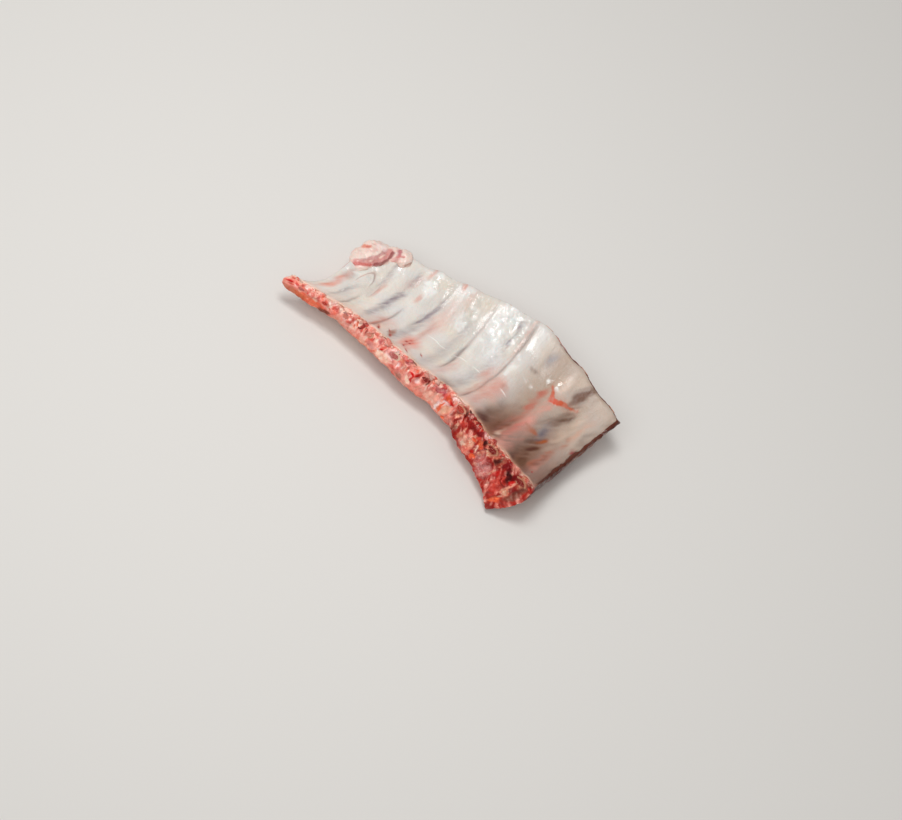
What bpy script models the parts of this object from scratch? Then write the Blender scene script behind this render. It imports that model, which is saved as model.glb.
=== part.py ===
"""A raw rack of pork ribs, lying with its hollow, membrane-covered bone side up.

The rack is one curved slab of meat, thin and narrow at its left end and thick at its right end,
with nine rib bones running through it from the sawn front edge to the back edge.
Run it with: blender --background --python part.py

Every point of the slab has three coordinates that run from 0 to 1:
    s  along the rack, from the thin end (-X) to the thick end (+X)
    v  across it, from the sawn front edge (-Y) to the back edge (+Y)
    t  down through the meat, from the membrane (top) to the meaty side (bottom)
A rib keeps its s all the way across, so the bones, their bumps and the scalloped edge share one rule.
All sizes are in metres, +Z is up, and the rack rests on a small flat at Z = 0.
"""

import math

import bmesh
import bpy
import numpy as np
from mathutils import Vector

# Driving dimensions.
EDGE_LENGTH = 0.264  # the front edge, without the tip at the thin end
TIP_REACH = 0.019  # how far the thin end's front corner runs on past the first rib
END_UNDERCUT = 0.018  # the thick end's face slants in under the membrane by this much
END_BULGE = 0.0045  # the thick end's face stands out between membrane and meat side
EDGE_BULGE = 0.0016  # so do the front, back and thin edges
LOWEST_V = 0.47  # where across the rack the hollow is deepest

# Sizes that change along the rack, as (s, value) stations with a smooth curve through them.
FRONT_Y = ((0, -0.058), (0.13, -0.050), (0.4, -0.048), (0.66, -0.047), (0.76, -0.056), (0.84, -0.060), (1, -0.068))
BACK_Y = ((0, 0.022), (0.17, 0.039), (0.35, 0.053), (0.5, 0.065), (0.63, 0.072), (0.78, 0.063), (1, 0.045))
HOLLOW_Z = ((0, 0.025), (0.25, 0.022), (0.6, 0.023), (0.85, 0.027), (1, 0.028))
FRONT_RISE = ((0, 0.008), (0.25, 0.015), (0.6, 0.017), (1, 0.016))
BACK_RISE = ((0, 0.007), (0.25, 0.014), (0.6, 0.020), (1, 0.017))
RIB_LEAN = ((0, 0.007), (0.5, 0.006), (0.8, 0.012), (1, 0.017))
RIB_BOW = ((0, 0.003), (0.5, 0.008), (0.8, 0.003), (1, -0.001))
FRONT_THICK = ((0, 0.014), (0.2, 0.016), (0.45, 0.022), (0.65, 0.026), (0.8, 0.031), (0.91, 0.036), (1, 0.045))
MIDDLE_THICK = ((0, 0.014), (0.2, 0.021), (0.5, 0.024), (0.75, 0.027), (1, 0.027))
BACK_THICK = ((0, 0.012), (0.3, 0.014), (0.7, 0.016), (1, 0.018))

# The ribs, from the thin end: (s, width, thickness, v where the bone ends).
RIBS = (
    (0.030, 0.0070, 0.0046, 0.52),
    (0.088, 0.0085, 0.0052, 0.66),
    (0.157, 0.0095, 0.0056, 1.0),
    (0.250, 0.0105, 0.0062, 1.0),
    (0.365, 0.0110, 0.0066, 1.0),
    (0.495, 0.0120, 0.0070, 1.0),
    (0.647, 0.0130, 0.0074, 1.0),
    (0.815, 0.0135, 0.0076, 1.0),
    (0.956, 0.0130, 0.0076, 1.0),
)
BONE_DEPTH = 0.0056  # from the membrane to the bone's middle line
BONE_PROUD = 0.0008  # the sawn bone ends stand this far out of the meat
BONE_GAP = 0.0003  # clearance all round a bone in its channel
BONE_SIDES = 10
BONE_STEPS = 7
RIB_BUMP = 0.0026  # how far the membrane swells over a bone
BUMP_REACH = 1.25  # half the swelling's width, in bone widths
SCALLOP = 0.0022  # how far the back edge swells at a bone
MEAT_RIDGE = 0.0012  # how far the meaty side swells under a bone

# Lumps of fat and muscle on the thin end's back corner: (s, v, height, radii along X, Y and Z).
LOBES = (
    (0.046, 0.93, -0.0020, (0.0145, 0.0135, 0.0080)),
    (0.024, 0.72, -0.0020, (0.0105, 0.0135, 0.0060)),
    (0.130, 0.99, -0.0030, (0.0108, 0.0100, 0.0085)),
)

SLAB_STEPS = (60, 16, 3)  # divisions along s, v and t

FAT_PINK = (0.80, 0.66, 0.60, 1)
BONE_IVORY = (0.78, 0.60, 0.50, 1)


def through(stations, at):
    """The value at each place of a smooth curve through the stations."""
    places, values = np.array(stations, float).T
    slopes = np.gradient(values, places)
    at = np.clip(np.asarray(at, float), places[0], places[-1])
    left = np.clip(np.searchsorted(places, at, side="right") - 1, 0, len(places) - 2)
    span = places[left + 1] - places[left]
    f = (at - places[left]) / span
    rise = values[left + 1] - values[left]
    start, end = slopes[left] * span, slopes[left + 1] * span
    return values[left] + f * start + f * f * (3 * rise - 2 * start - end) + f**3 * (start + end - 2 * rise)


def bone_bump(s):
    """How much of a bone's swelling lies at s, from 0 between the ribs to 1 over a bone."""
    total = np.zeros_like(np.asarray(s, float))
    for place, width, _, _ in RIBS:
        reach = BUMP_REACH * width / EDGE_LENGTH
        total = np.maximum(total, np.cos(np.clip((s - place) / reach, -1, 1) * math.pi / 2) ** 2)
    return total


def membrane(s, v):
    """The smooth membrane surface, without the bones' bumps."""
    tip = TIP_REACH * np.exp(-v / 0.12) * (1 - np.clip(s, 0, 1)) ** 16
    x = EDGE_LENGTH * s + through(RIB_LEAN, s) * v + through(RIB_BOW, s) * 4 * v * (1 - v) - tip
    front, back = through(FRONT_Y, s), through(BACK_Y, s)
    y = front + (back - front) * v + SCALLOP * bone_bump(s) * np.clip(v, 0, 1) ** 6
    towards_front = np.maximum(LOWEST_V - v, 0) / LOWEST_V
    towards_back = np.maximum(v - LOWEST_V, 0) / (1 - LOWEST_V)
    rise = through(FRONT_RISE, s) * towards_front**2 + through(BACK_RISE, s) * towards_back**2
    return np.stack([x, y, through(HOLLOW_Z, s) + rise], axis=-1)


def upward(s, v):
    """The unit direction that points up out of the membrane."""
    step = 0.004
    along = membrane(s + step, v) - membrane(s - step, v)
    across = membrane(s, v + step) - membrane(s, v - step)
    normal = np.cross(along, across)
    return normal / np.linalg.norm(normal, axis=-1, keepdims=True)


def thickness(s, v):
    """The meat's thickness, blended from its values at the front, in the middle and at the back."""
    front, middle, back = (through(x, s) for x in (FRONT_THICK, MIDDLE_THICK, BACK_THICK))
    near = np.clip(1 - v / LOWEST_V, 0, 1) ** 1.6
    far = np.clip((v - LOWEST_V) / (1 - LOWEST_V), 0, 1) ** 1.6
    return middle + (front - middle) * near + (back - middle) * far


def slab_point(s, v, t):
    """A point of the meat. Below Z = 0 it lies flat, as soft meat does on a board."""
    away_from_edges = np.sin(np.pi * np.clip(v, 0, 1)) ** 0.5
    swelling = bone_bump(s) * away_from_edges * (RIB_BUMP * (1 - t) - MEAT_RIDGE * t)
    middle = 4 * t * (1 - t)
    point = membrane(s, v) + upward(s, v) * (swelling - t * thickness(s, v))[..., None]
    point[..., 0] -= END_UNDERCUT * t**1.5 * s**6
    point[..., 0] += middle * (END_BULGE * (s >= 1) - EDGE_BULGE * (s <= 0))
    point[..., 1] += middle * EDGE_BULGE * ((v >= 1) * 1.0 - (v <= 0))
    point[..., 2] = np.maximum(point[..., 2], 0)
    return point


def material(name, colour, roughness):
    made = bpy.data.materials.new(name)
    made.use_nodes = True
    shader = made.node_tree.nodes["Principled BSDF"]
    shader.inputs["Base Color"].default_value = colour
    shader.inputs["Roughness"].default_value = roughness
    shader.inputs["Metallic"].default_value = 0
    return made


def add_object(name, mesh, finish=None):
    obj = bpy.data.objects.new(name, mesh)
    bpy.context.scene.collection.objects.link(obj)
    if finish:
        mesh.materials.append(finish)
    return obj


def slab_mesh(name):
    """The six faces of the slab as grids that share their edges."""
    shape = bmesh.new()
    corners = {}

    def vertex(grid):
        if grid not in corners:
            place = np.array(grid, float) / SLAB_STEPS
            corners[grid] = shape.verts.new(slab_point(place[0:1], place[1:2], place[2:3])[0])
        return corners[grid]

    for fixed in range(3):
        first, second = (fixed + 1) % 3, (fixed + 2) % 3
        for level in (0, SLAB_STEPS[fixed]):
            for i in range(SLAB_STEPS[first]):
                for j in range(SLAB_STEPS[second]):
                    ring = []
                    for a, b in ((i, j), (i + 1, j), (i + 1, j + 1), (i, j + 1)):
                        grid = [0, 0, 0]
                        grid[fixed], grid[first], grid[second] = level, a, b
                        ring.append(vertex(tuple(grid)))
                    shape.faces.new(ring)
    bmesh.ops.recalc_face_normals(shape, faces=shape.faces)
    bmesh.ops.triangulate(shape, faces=shape.faces)
    mesh = bpy.data.meshes.new(name)
    shape.to_mesh(mesh)
    shape.free()
    return mesh


def bone_mesh(name, rib, grow=0.0, reach=0.0):
    """A rib: an oval rod that follows the membrane, with ends sawn flush with the front and back edges.
    grow widens it all round and reach lengthens it past its ends, which makes its channel's cutter."""
    place, width, thick, last = rib
    run = through(BACK_Y, place) - through(FRONT_Y, place)
    proud = BONE_PROUD / run
    steps = [-proud, *np.linspace(0, last, BONE_STEPS)]
    blind = last < 1
    if blind:
        steps[-1] += grow / run
    else:
        steps.append(1 + proud)
    if reach:
        steps.insert(0, -reach / run)
    if reach and not blind:
        steps.append(1 + reach / run)
    shape = bmesh.new()
    rings = []
    for v in steps:
        s, v = np.array([place]), np.array([v])
        up = upward(s, v)[0]
        middle = membrane(s, v)[0] - up * BONE_DEPTH
        side = (membrane(s + 0.01, v) - membrane(s - 0.01, v))[0]
        side /= np.linalg.norm(side)
        slim = 1 - 0.12 * math.sin(math.pi * min(max(v[0], 0), 1))
        if blind:
            slim *= 1 - 0.35 * max(v[0], 0) / last
        ring = []
        for k in range(BONE_SIDES):
            turn = 2 * math.pi * k / BONE_SIDES
            across = side * math.cos(turn) * (width / 2 * slim + grow)
            down = up * math.sin(turn) * (thick / 2 * slim + grow)
            ring.append(shape.verts.new(Vector(middle + across + down)))
        rings.append(ring)
    for low, high in zip(rings, rings[1:]):
        for k in range(BONE_SIDES):
            n = (k + 1) % BONE_SIDES
            shape.faces.new((low[k], low[n], high[n], high[k]))
    shape.faces.new(rings[0])
    shape.faces.new(rings[-1])
    bmesh.ops.recalc_face_normals(shape, faces=shape.faces)
    mesh = bpy.data.meshes.new(name)
    shape.to_mesh(mesh)
    shape.free()
    return mesh


def lobe_mesh(name, lobe):
    """A rounded lump that grows out of the back corner."""
    s, v, height, radii = lobe
    shape = bmesh.new()
    bmesh.ops.create_icosphere(shape, subdivisions=2, radius=1)
    bmesh.ops.scale(shape, vec=radii, verts=shape.verts)
    centre = membrane(np.array([s]), np.array([v]))[0] + (0, 0, height)
    bmesh.ops.translate(shape, vec=Vector(centre), verts=shape.verts)
    mesh = bpy.data.meshes.new(name)
    shape.to_mesh(mesh)
    shape.free()
    return mesh


def helper(name, mesh):
    """An object that only shapes another one."""
    obj = add_object(name, mesh)
    obj.hide_render = True
    obj.display_type = "WIRE"
    return obj


def join_or_cut(obj, other, operation):
    modifier = obj.modifiers.new(other.name, "BOOLEAN")
    modifier.object = other
    modifier.operation = operation
    modifier.solver = "EXACT"


def build_meat():
    meat = add_object("meat", slab_mesh("meat"), material("meat", FAT_PINK, 0.35))
    for number, lobe in enumerate(LOBES, 1):
        lump = helper(f"lobe_{number}", lobe_mesh(f"lobe_{number}", lobe))
        join_or_cut(meat, lump, "UNION")
    for number, rib in enumerate(RIBS, 1):
        channel = bone_mesh(f"channel_{number}", rib, grow=BONE_GAP, reach=0.006)
        join_or_cut(meat, helper(f"channel_{number}", channel), "DIFFERENCE")
    return meat


def build_bones():
    finish = material("bone", BONE_IVORY, 0.45)
    return [add_object(f"rib_{n}", bone_mesh(f"rib_{n}", rib), finish) for n, rib in enumerate(RIBS, 1)]


def stand_at_origin():
    """Slides every mesh level with the floor until the rack's box is centred over the origin."""
    bpy.context.view_layer.update()
    graph = bpy.context.evaluated_depsgraph_get()
    shown = [o for o in bpy.context.scene.objects if not o.hide_render]
    corners = [Vector(c) for o in shown for c in o.evaluated_get(graph).bound_box]
    middle = [(min(c[i] for c in corners) + max(c[i] for c in corners)) / 2 for i in (0, 1)]
    for obj in bpy.context.scene.objects:
        obj.data.transform(obj.matrix_world.Translation((-middle[0], -middle[1], 0)))


def main():
    for obj in list(bpy.data.objects):
        bpy.data.objects.remove(obj, do_unlink=True)
    build_meat()
    build_bones()
    stand_at_origin()


main()
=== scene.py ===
"""The looks of a raw rack of pork ribs that lies with its hollow, membrane-covered bone side up.

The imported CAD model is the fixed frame. Its one slab of meat is replaced by finer pieces that follow the
same rule: a membrane, the flesh with its sawn front face, nubs that the saw left on its edge, and lumps of
fat. Its bones are replaced by bones with marrow. Every point of the rack has three coordinates from 0 to 1:
    s  along the rack, from the thin end (-X) to the thick end (+X)
    v  across it, from the sawn front edge (-Y) to the back edge (+Y)
    t  down through the meat, from the membrane to the meaty side
Lengths are in metres.
"""

import math
from itertools import product

import bmesh
import bpy
import numpy as np
from bpy.props import FloatProperty, FloatVectorProperty, IntProperty, PointerProperty
from mathutils import Matrix, Vector


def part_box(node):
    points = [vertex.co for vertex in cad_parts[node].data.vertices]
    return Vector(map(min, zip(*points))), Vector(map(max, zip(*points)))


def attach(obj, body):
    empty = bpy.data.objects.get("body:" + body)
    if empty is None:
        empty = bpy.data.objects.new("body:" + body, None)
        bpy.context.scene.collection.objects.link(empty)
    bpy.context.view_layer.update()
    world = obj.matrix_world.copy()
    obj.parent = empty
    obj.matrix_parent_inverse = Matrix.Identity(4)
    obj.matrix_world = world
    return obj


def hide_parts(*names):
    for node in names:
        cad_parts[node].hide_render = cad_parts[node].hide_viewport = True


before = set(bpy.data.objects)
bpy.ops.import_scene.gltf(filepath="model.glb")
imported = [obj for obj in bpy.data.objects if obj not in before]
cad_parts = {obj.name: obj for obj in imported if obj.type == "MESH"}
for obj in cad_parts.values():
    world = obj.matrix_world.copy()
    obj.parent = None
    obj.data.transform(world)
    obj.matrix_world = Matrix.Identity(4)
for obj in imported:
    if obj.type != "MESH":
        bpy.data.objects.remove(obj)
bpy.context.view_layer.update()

bl_info = {
    "name": "Rack of Ribs",
    "version": (1, 0, 0),
    "blender": (4, 5, 0),
    "location": "View3D > Sidebar > Ribs",
    "description": "Builds the membrane, flesh, bones, fat and stage of a raw rack of pork ribs",
    "category": "Object",
}

# ---------------------------------------------------------------------------------------------------------
# The rack's shape, as its CAD model states it.

EDGE_LENGTH = 0.264  # how far apart s = 0 and s = 1 lie along X, before the ribs' lean and bow
PATTERN_WIDTH = 0.11  # what v = 1 stands for where a pattern is laid out flat
TIP_REACH = 0.019  # how far the thin end's front corner reaches out
TIP_FADE = 0.12  # over how much of v that fades
END_UNDERCUT = 0.018  # how far the meaty side is drawn in at the thick end
END_BULGE = 0.0045  # how far the thick end bulges halfway down
EDGE_BULGE = 0.0016  # how far the other edges do
LOWEST_V = 0.47  # where the hollow is lowest

# Curves along the rack, as (s, metres): its edges, the hollow's height and how far it rises to each edge,
# how far the ribs lean and bow, and the thickness at the front, in the middle and at the back.
FRONT_Y = (
    (0, -0.058), (0.13, -0.05), (0.4, -0.048), (0.66, -0.047),
    (0.76, -0.056), (0.84, -0.06), (1, -0.068),
)
BACK_Y = ((0, 0.022), (0.17, 0.039), (0.35, 0.053), (0.5, 0.065), (0.63, 0.072), (0.78, 0.063), (1, 0.045))
HOLLOW_Z = ((0, 0.025), (0.25, 0.022), (0.6, 0.023), (0.85, 0.027), (1, 0.028))
FRONT_RISE = ((0, 0.008), (0.25, 0.015), (0.6, 0.017), (1, 0.016))
BACK_RISE = ((0, 0.007), (0.25, 0.014), (0.6, 0.02), (1, 0.017))
RIB_LEAN = ((0, 0.007), (0.5, 0.006), (0.8, 0.012), (1, 0.017))
RIB_BOW = ((0, 0.003), (0.5, 0.008), (0.8, 0.003), (1, -0.001))
FRONT_THICK = (
    (0, 0.014), (0.2, 0.016), (0.45, 0.022), (0.65, 0.026),
    (0.8, 0.031), (0.91, 0.036), (1, 0.045),
)
MIDDLE_THICK = ((0, 0.014), (0.2, 0.021), (0.5, 0.024), (0.75, 0.027), (1, 0.027))
BACK_THICK = ((0, 0.012), (0.3, 0.014), (0.7, 0.016), (1, 0.018))

# The ribs, from the thin end: (s, width, thickness, v where the bone ends).
RIBS = (
    (0.03, 0.007, 0.0046, 0.52), (0.088, 0.0085, 0.0052, 0.66), (0.157, 0.0095, 0.0056, 1),
    (0.25, 0.0105, 0.0062, 1), (0.365, 0.011, 0.0066, 1), (0.495, 0.012, 0.007, 1),
    (0.647, 0.013, 0.0074, 1), (0.815, 0.0135, 0.0076, 1), (0.956, 0.013, 0.0076, 1),
)
# The rim's tone and the marrow's tone of each bone.
BONE_TONES = (
    ("salmon", "rose"), ("salmon", "red"), ("mauve", "salmon"), ("peach", "salmon"), ("cream", "rose"),
    ("salmon", "muscle"), ("peach", "red"), ("tan", "muscle"), ("tan", "muscle"),
)
BONE_DEPTH = 0.0056  # how deep the bones' middles lie
BONE_PROUD = 0.0008  # how far their sawn ends stand out
RIB_BUMP = 0.0026  # height of the swelling over a bone
BUMP_REACH = 1.25  # its half width, in bone widths
SCALLOP = 0.0022  # how far the back edge stands out at a bone
MEAT_RIDGE = 0.0012  # how far the meaty side stands out under a bone
CAD_STEPS = (60, 16, 3)  # steps of the CAD slab's lattice along s, v and t

# ---------------------------------------------------------------------------------------------------------
# Marks of this rack. Places are (s, v) on the membrane and (s, t) on the sawn face.

# Thin grooves beside the ribs: (s, v from, v to, strength, redness).
GROOVES = (
    (0.066, 0.12, 0.42, 0.25, 0), (0.112, 0.06, 0.36, 0.85, 0), (0.13, 0.4, 0.6, 0.25, 0.9),
    (0.232, 0.26, 0.52, 0.7, 0), (0.23, 0, 0.34, 0.7, 0.9), (0.343, 0.25, 0.62, 0.2, 0.8),
    (0.472, 0.2, 0.6, 0.95, 0), (0.47, 0.5, 1, 0.45, 0.3), (0.609, 0.05, 0.48, 0.8, 0.5),
    (0.612, 0.4, 1, 0.9, 0.2), (0.762, 0.08, 0.4, 0.5, 0.6), (0.93, 0.05, 0.3, 0.25, 0.9),
)
# A fold that arches over near the thin end: (s, v) of its middle and its radii in s and v.
ARCH = (0.084, 0.42, 0.023, 0.26)
# Darker meat that shows through between the ribs: (s, drift with v, half width, v middle, half length,
# strength).
VALLEYS = (
    (0.125, 0.01, 0.01, 0.8, 0.25, 0.4), (0.07, 0.03, 0.007, 0.28, 0.2, 0.35),
    (0.188, 0.06, 0.01, 0.55, 0.17, 1), (0.184, 0.03, 0.012, 0.32, 0.2, 0.45),
    (0.2, 0.06, 0.01, 0.84, 0.12, 0.35), (0.308, 0.06, 0.008, 0.62, 0.24, 0.85),
    (0.305, 0.03, 0.014, 0.4, 0.34, 0.35), (0.427, 0.02, 0.009, 0.58, 0.2, 0.26),
    (0.425, 0.02, 0.018, 0.35, 0.35, 0.12), (0.57, 0, 0.006, 0.84, 0.16, 0.7),
    (0.56, 0, 0.02, 0.5, 0.4, 0.2),
)
# Soft stains on the membrane, a few of them partly painted shade or a painted highlight, in the order they
# are
# laid: (s, v, radius in s, radius in v, slant, tone, strength). The slant is how far the stain leans along s
# over its whole radius in v.
MEMBRANE_STAINS = (
    (0.085, 0.3, 0.02, 0.4, 0, "mist", 0.25), (0.185, 0.3, 0.012, 0.35, 0, "mist", 0.3),
    (0.3, 0.35, 0.014, 0.45, 0.01, "mist", 0.35), (0.43, 0.3, 0.02, 0.45, 0, "mist", 0.28),
    # The whitish stain at s 0.535, v 0.82 is a painted highlight.
    (0.56, 0.2, 0.022, 0.3, 0, "mist", 0.35), (0.535, 0.82, 0.035, 0.2, 0, "painted_sheen", 0.6),
    (0.47, 0.45, 0.008, 0.18, 0, "mist", 0.5), (0.03, 0.58, 0.02, 0.07, 0, "mist", 0.35),
    (0.026, 0.42, 0.013, 0.22, 0, "pink", 0.65), (0.03, 0.24, 0.01, 0.16, 0, "orange", 0.5),
    (0.13, 0.52, 0.008, 0.12, 0, "pink", 0.55), (0.205, 0.82, 0.014, 0.12, 0.02, "pink", 0.25),
    (0.25, 0.69, 0.008, 0.05, 0, "pink", 0.95), (0.24, 0.17, 0.034, 0.18, 0, "pink", 0.4),
    (0.228, 0.12, 0.008, 0.16, 0, "pink", 0.85), (0.345, 0.18, 0.026, 0.13, 0, "salmon", 1),
    (0.352, 0.6, 0.028, 0.22, 0, "pink", 0.4), (0.345, 0.4, 0.012, 0.14, 0, "pink", 0.3),
    (0.385, 0.9, 0.02, 0.12, 0, "pink", 0.2), (0.35, 0.98, 0.008, 0.05, 0, "pink", 0.8),
    (0.238, 0.98, 0.008, 0.05, 0, "pink", 0.5), (0.49, 0.22, 0.02, 0.2, 0, "pink", 0.4),
    (0.545, 0.04, 0.035, 0.06, 0, "brown", 0.5), (0.585, 0.45, 0.016, 0.09, 0, "pink", 0.5),
    (0.602, 0.22, 0.01, 0.2, 0, "pink", 0.4), (0.645, 0.2, 0.04, 0.24, 0, "pink", 0.55),
    (0.64, 0.4, 0.034, 0.13, 0, "pink", 0.7), (0.66, 0.46, 0.012, 0.04, 0, "clay", 0.45),
    (0.602, 0.8, 0.006, 0.3, 0, "pink", 0.3), (0.7, 0.83, 0.046, 0.17, 0, "mist", 0.16),
    # The brown, bark, dark and umber stains from s = 0.7 on, at the thick end, are partly real stains and
    # partly painted shade.
    (0.72, 0.92, 0.018, 0.06, 0, "mist", 0.6), (0.712, 0.26, 0.022, 0.22, 0.006, "brown", 0.22),
    (0.748, 0.32, 0.01, 0.22, 0.006, "brown", 0.28), (0.712, 0.12, 0.022, 0.12, 0.004, "bark", 0.5),
    (0.716, 0.045, 0.026, 0.08, 0.004, "umber", 1), (0.721, 0.04, 0.018, 0.07, 0.004, "dark", 0.9),
    (0.769, 0.2, 0.009, 0.2, 0.002, "bark", 0.95), (0.808, 0.2, 0.03, 0.32, -0.006, "clay", 0.9),
    (0.798, 0.44, 0.024, 0.12, 0, "pink", 0.6), (0.8, 0.3, 0.012, 0.12, 0, "red", 0.3),
    (0.768, 0.5, 0.012, 0.18, 0.006, "clay", 0.75), (0.765, 0.655, 0.013, 0.04, 0.004, "clay", 0.7),
    (0.812, 0.64, 0.016, 0.05, 0, "pink", 0.6), (0.803, 0.57, 0.018, 0.09, 0, "pink", 0.15),
    (0.79, 0.07, 0.008, 0.1, -0.006, "cream", 0.5), (0.812, 0.1, 0.01, 0.08, 0, "salmon", 0.5),
    (0.8, 0.86, 0.02, 0.1, 0, "cream", 0.3), (0.832, 0.52, 0.016, 0.16, 0.01, "brown", 0.35),
    (0.866, 0.55, 0.018, 0.4, 0.016, "brown", 0.5), (0.872, 0.9, 0.014, 0.12, 0.014, "brown", 0.95),
    (0.876, 0.76, 0.014, 0.08, 0.018, "brown", 0.95), (0.875, 0.9, 0.01, 0.1, 0.012, "bark", 0.75),
    (0.886, 0.84, 0.008, 0.05, 0.004, "mist", 0.3), (0.874, 0.66, 0.01, 0.1, 0.016, "brown", 0.7),
    (0.852, 0.62, 0.006, 0.08, 0.014, "brown", 0.5), (0.914, 0.58, 0.016, 0.3, 0.01, "cream", 0.22),
    (0.868, 0.22, 0.022, 0.16, -0.008, "bark", 0.8), (0.895, 0.22, 0.02, 0.18, -0.014, "bark", 0.95),
    (0.893, 0.24, 0.012, 0.12, -0.01, "dark", 0.35), (0.866, 0.09, 0.012, 0.1, -0.012, "dark", 0.5),
    (0.85, 0.14, 0.014, 0.1, -0.01, "bark", 0.6), (0.862, 0.47, 0.018, 0.08, 0.004, "mist", 0.6),
    (0.862, 0.46, 0.014, 0.065, 0.008, "plum", 0.6), (0.866, 0.36, 0.01, 0.05, 0.01, "plum", 0.55),
    (0.834, 0.395, 0.014, 0.035, 0.004, "rust", 0.9), (0.812, 0.395, 0.012, 0.015, 0, "rust", 0.45),
    (0.886, 0.38, 0.013, 0.05, 0.004, "rust", 0.7), (0.912, 0.14, 0.012, 0.09, -0.006, "bark", 0.55),
    (0.938, 0.28, 0.014, 0.11, 0, "clay", 0.9), (0.94, 0.29, 0.015, 0.13, 0, "rust", 1),
    (0.941, 0.28, 0.01, 0.1, 0, "umber", 0.55), (0.95, 0.14, 0.007, 0.1, 0, "clay", 0.6),
    (0.952, 0.53, 0.011, 0.08, 0, "rust", 0.5), (0.955, 0.72, 0.014, 0.12, 0, "tan", 0.45),
    (0.99, 0.5, 0.012, 0.6, 0, "brown", 0.35), (0.984, 0.58, 0.008, 0.04, 0, "muscle", 0.8),
    (0.249, 0.09, 0.006, 0.06, -0.005, "orange", 0.7), (0.252, 0.12, 0.01, 0.06, 0, "cream", 0.6),
    (0.288, 0.12, 0.007, 0.06, -0.005, "rust", 0.65), (0.335, 0.2, 0.006, 0.025, 0, "red", 0.6),
    (0.348, 0.19, 0.006, 0.025, 0, "red", 0.55), (0.345, 0.11, 0.008, 0.04, -0.004, "red", 0.6),
    (0.365, 0.075, 0.016, 0.025, 0, "red", 0.45), (0.697, 0.745, 0.015, 0.03, 0.01, "brown", 0.5),
)
# Where the tight wet film is crinkled and sparkles, and where a painted sheen whitens it: (s, v, radius in
# s, radius in v, slant, strength).
CRINKLES = (
    (0.54, 0.84, 0.055, 0.24, 0, 1), (0.53, 0.66, 0.036, 0.05, 0, 0.6), (0.262, 0.88, 0.018, 0.12, 0, 0.9),
    (0.41, 0.8, 0.03, 0.2, 0, 0.9), (0.14, 0.86, 0.01, 0.08, 0, 0.9), (0.312, 0.92, 0.012, 0.1, 0, 0.8),
    (0.372, 0.95, 0.016, 0.05, 0, 0.6), (0.762, 0.77, 0.01, 0.04, 0, 1), (0.788, 0.81, 0.01, 0.06, 0, 1),
    (0.715, 0.64, 0.03, 0.02, 0, 0.6), (0.03, 0.62, 0.03, 0.04, 0, 0.7), (0.08, 0.76, 0.016, 0.05, 0, 0.7),
    (0.205, 0.38, 0.008, 0.02, 0, 0.6),
)
# Where it is wet and smooth, and also whitened by a painted sheen, in the same form.
GLOSSY = (
    (0.63, 0.72, 0.016, 0.18, 0, 1), (0.632, 0.52, 0.01, 0.05, 0, 0.7), (0.52, 0.76, 0.05, 0.26, 0, 0.6),
    (0.262, 0.85, 0.016, 0.14, 0, 0.6), (0.802, 0.84, 0.012, 0.12, 0, 0.15),
)
# Nicks in the membrane that show red meat: (s, v, half width, half length, turn).
NICKS = (
    (0.25, 0.075, 0.0011, 0.0042, 0.5), (0.291, 0.105, 0.0013, 0.0026, 0.4),
    (0.274, 0.15, 0.0007, 0.002, 0.7), (0.334, 0.2, 0.0012, 0.0016, 0.5),
    (0.347, 0.195, 0.0011, 0.0014, 0.1), (0.345, 0.115, 0.0008, 0.002, 0.9),
    (0.37, 0.07, 0.0007, 0.003, 1.1), (0.405, 0.165, 0.0008, 0.002, 0.9),
    (0.953, 0.11, 0.0008, 0.0012, 0.2),
)
# A blood vessel on the membrane: its branches as runs of (s, v) points, where they meet, and its width.
VESSEL = (
    ((0.776, 0.77), (0.786, 0.752), (0.797, 0.722), (0.806, 0.7)),
    ((0.892, 0.8), (0.872, 0.768), (0.85, 0.745), (0.828, 0.715),
     (0.808, 0.69), (0.788, 0.664), (0.77, 0.655)),
)
VESSEL_FORK = (0.812, 0.697)
VESSEL_WIDTH = 0.0019
# Scratches that run along the rack: (s from, s to, v).
SCRATCHES = ((0.362, 0.43, 0.412), (0.465, 0.565, 0.413), (0.662, 0.696, 0.4))
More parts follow.
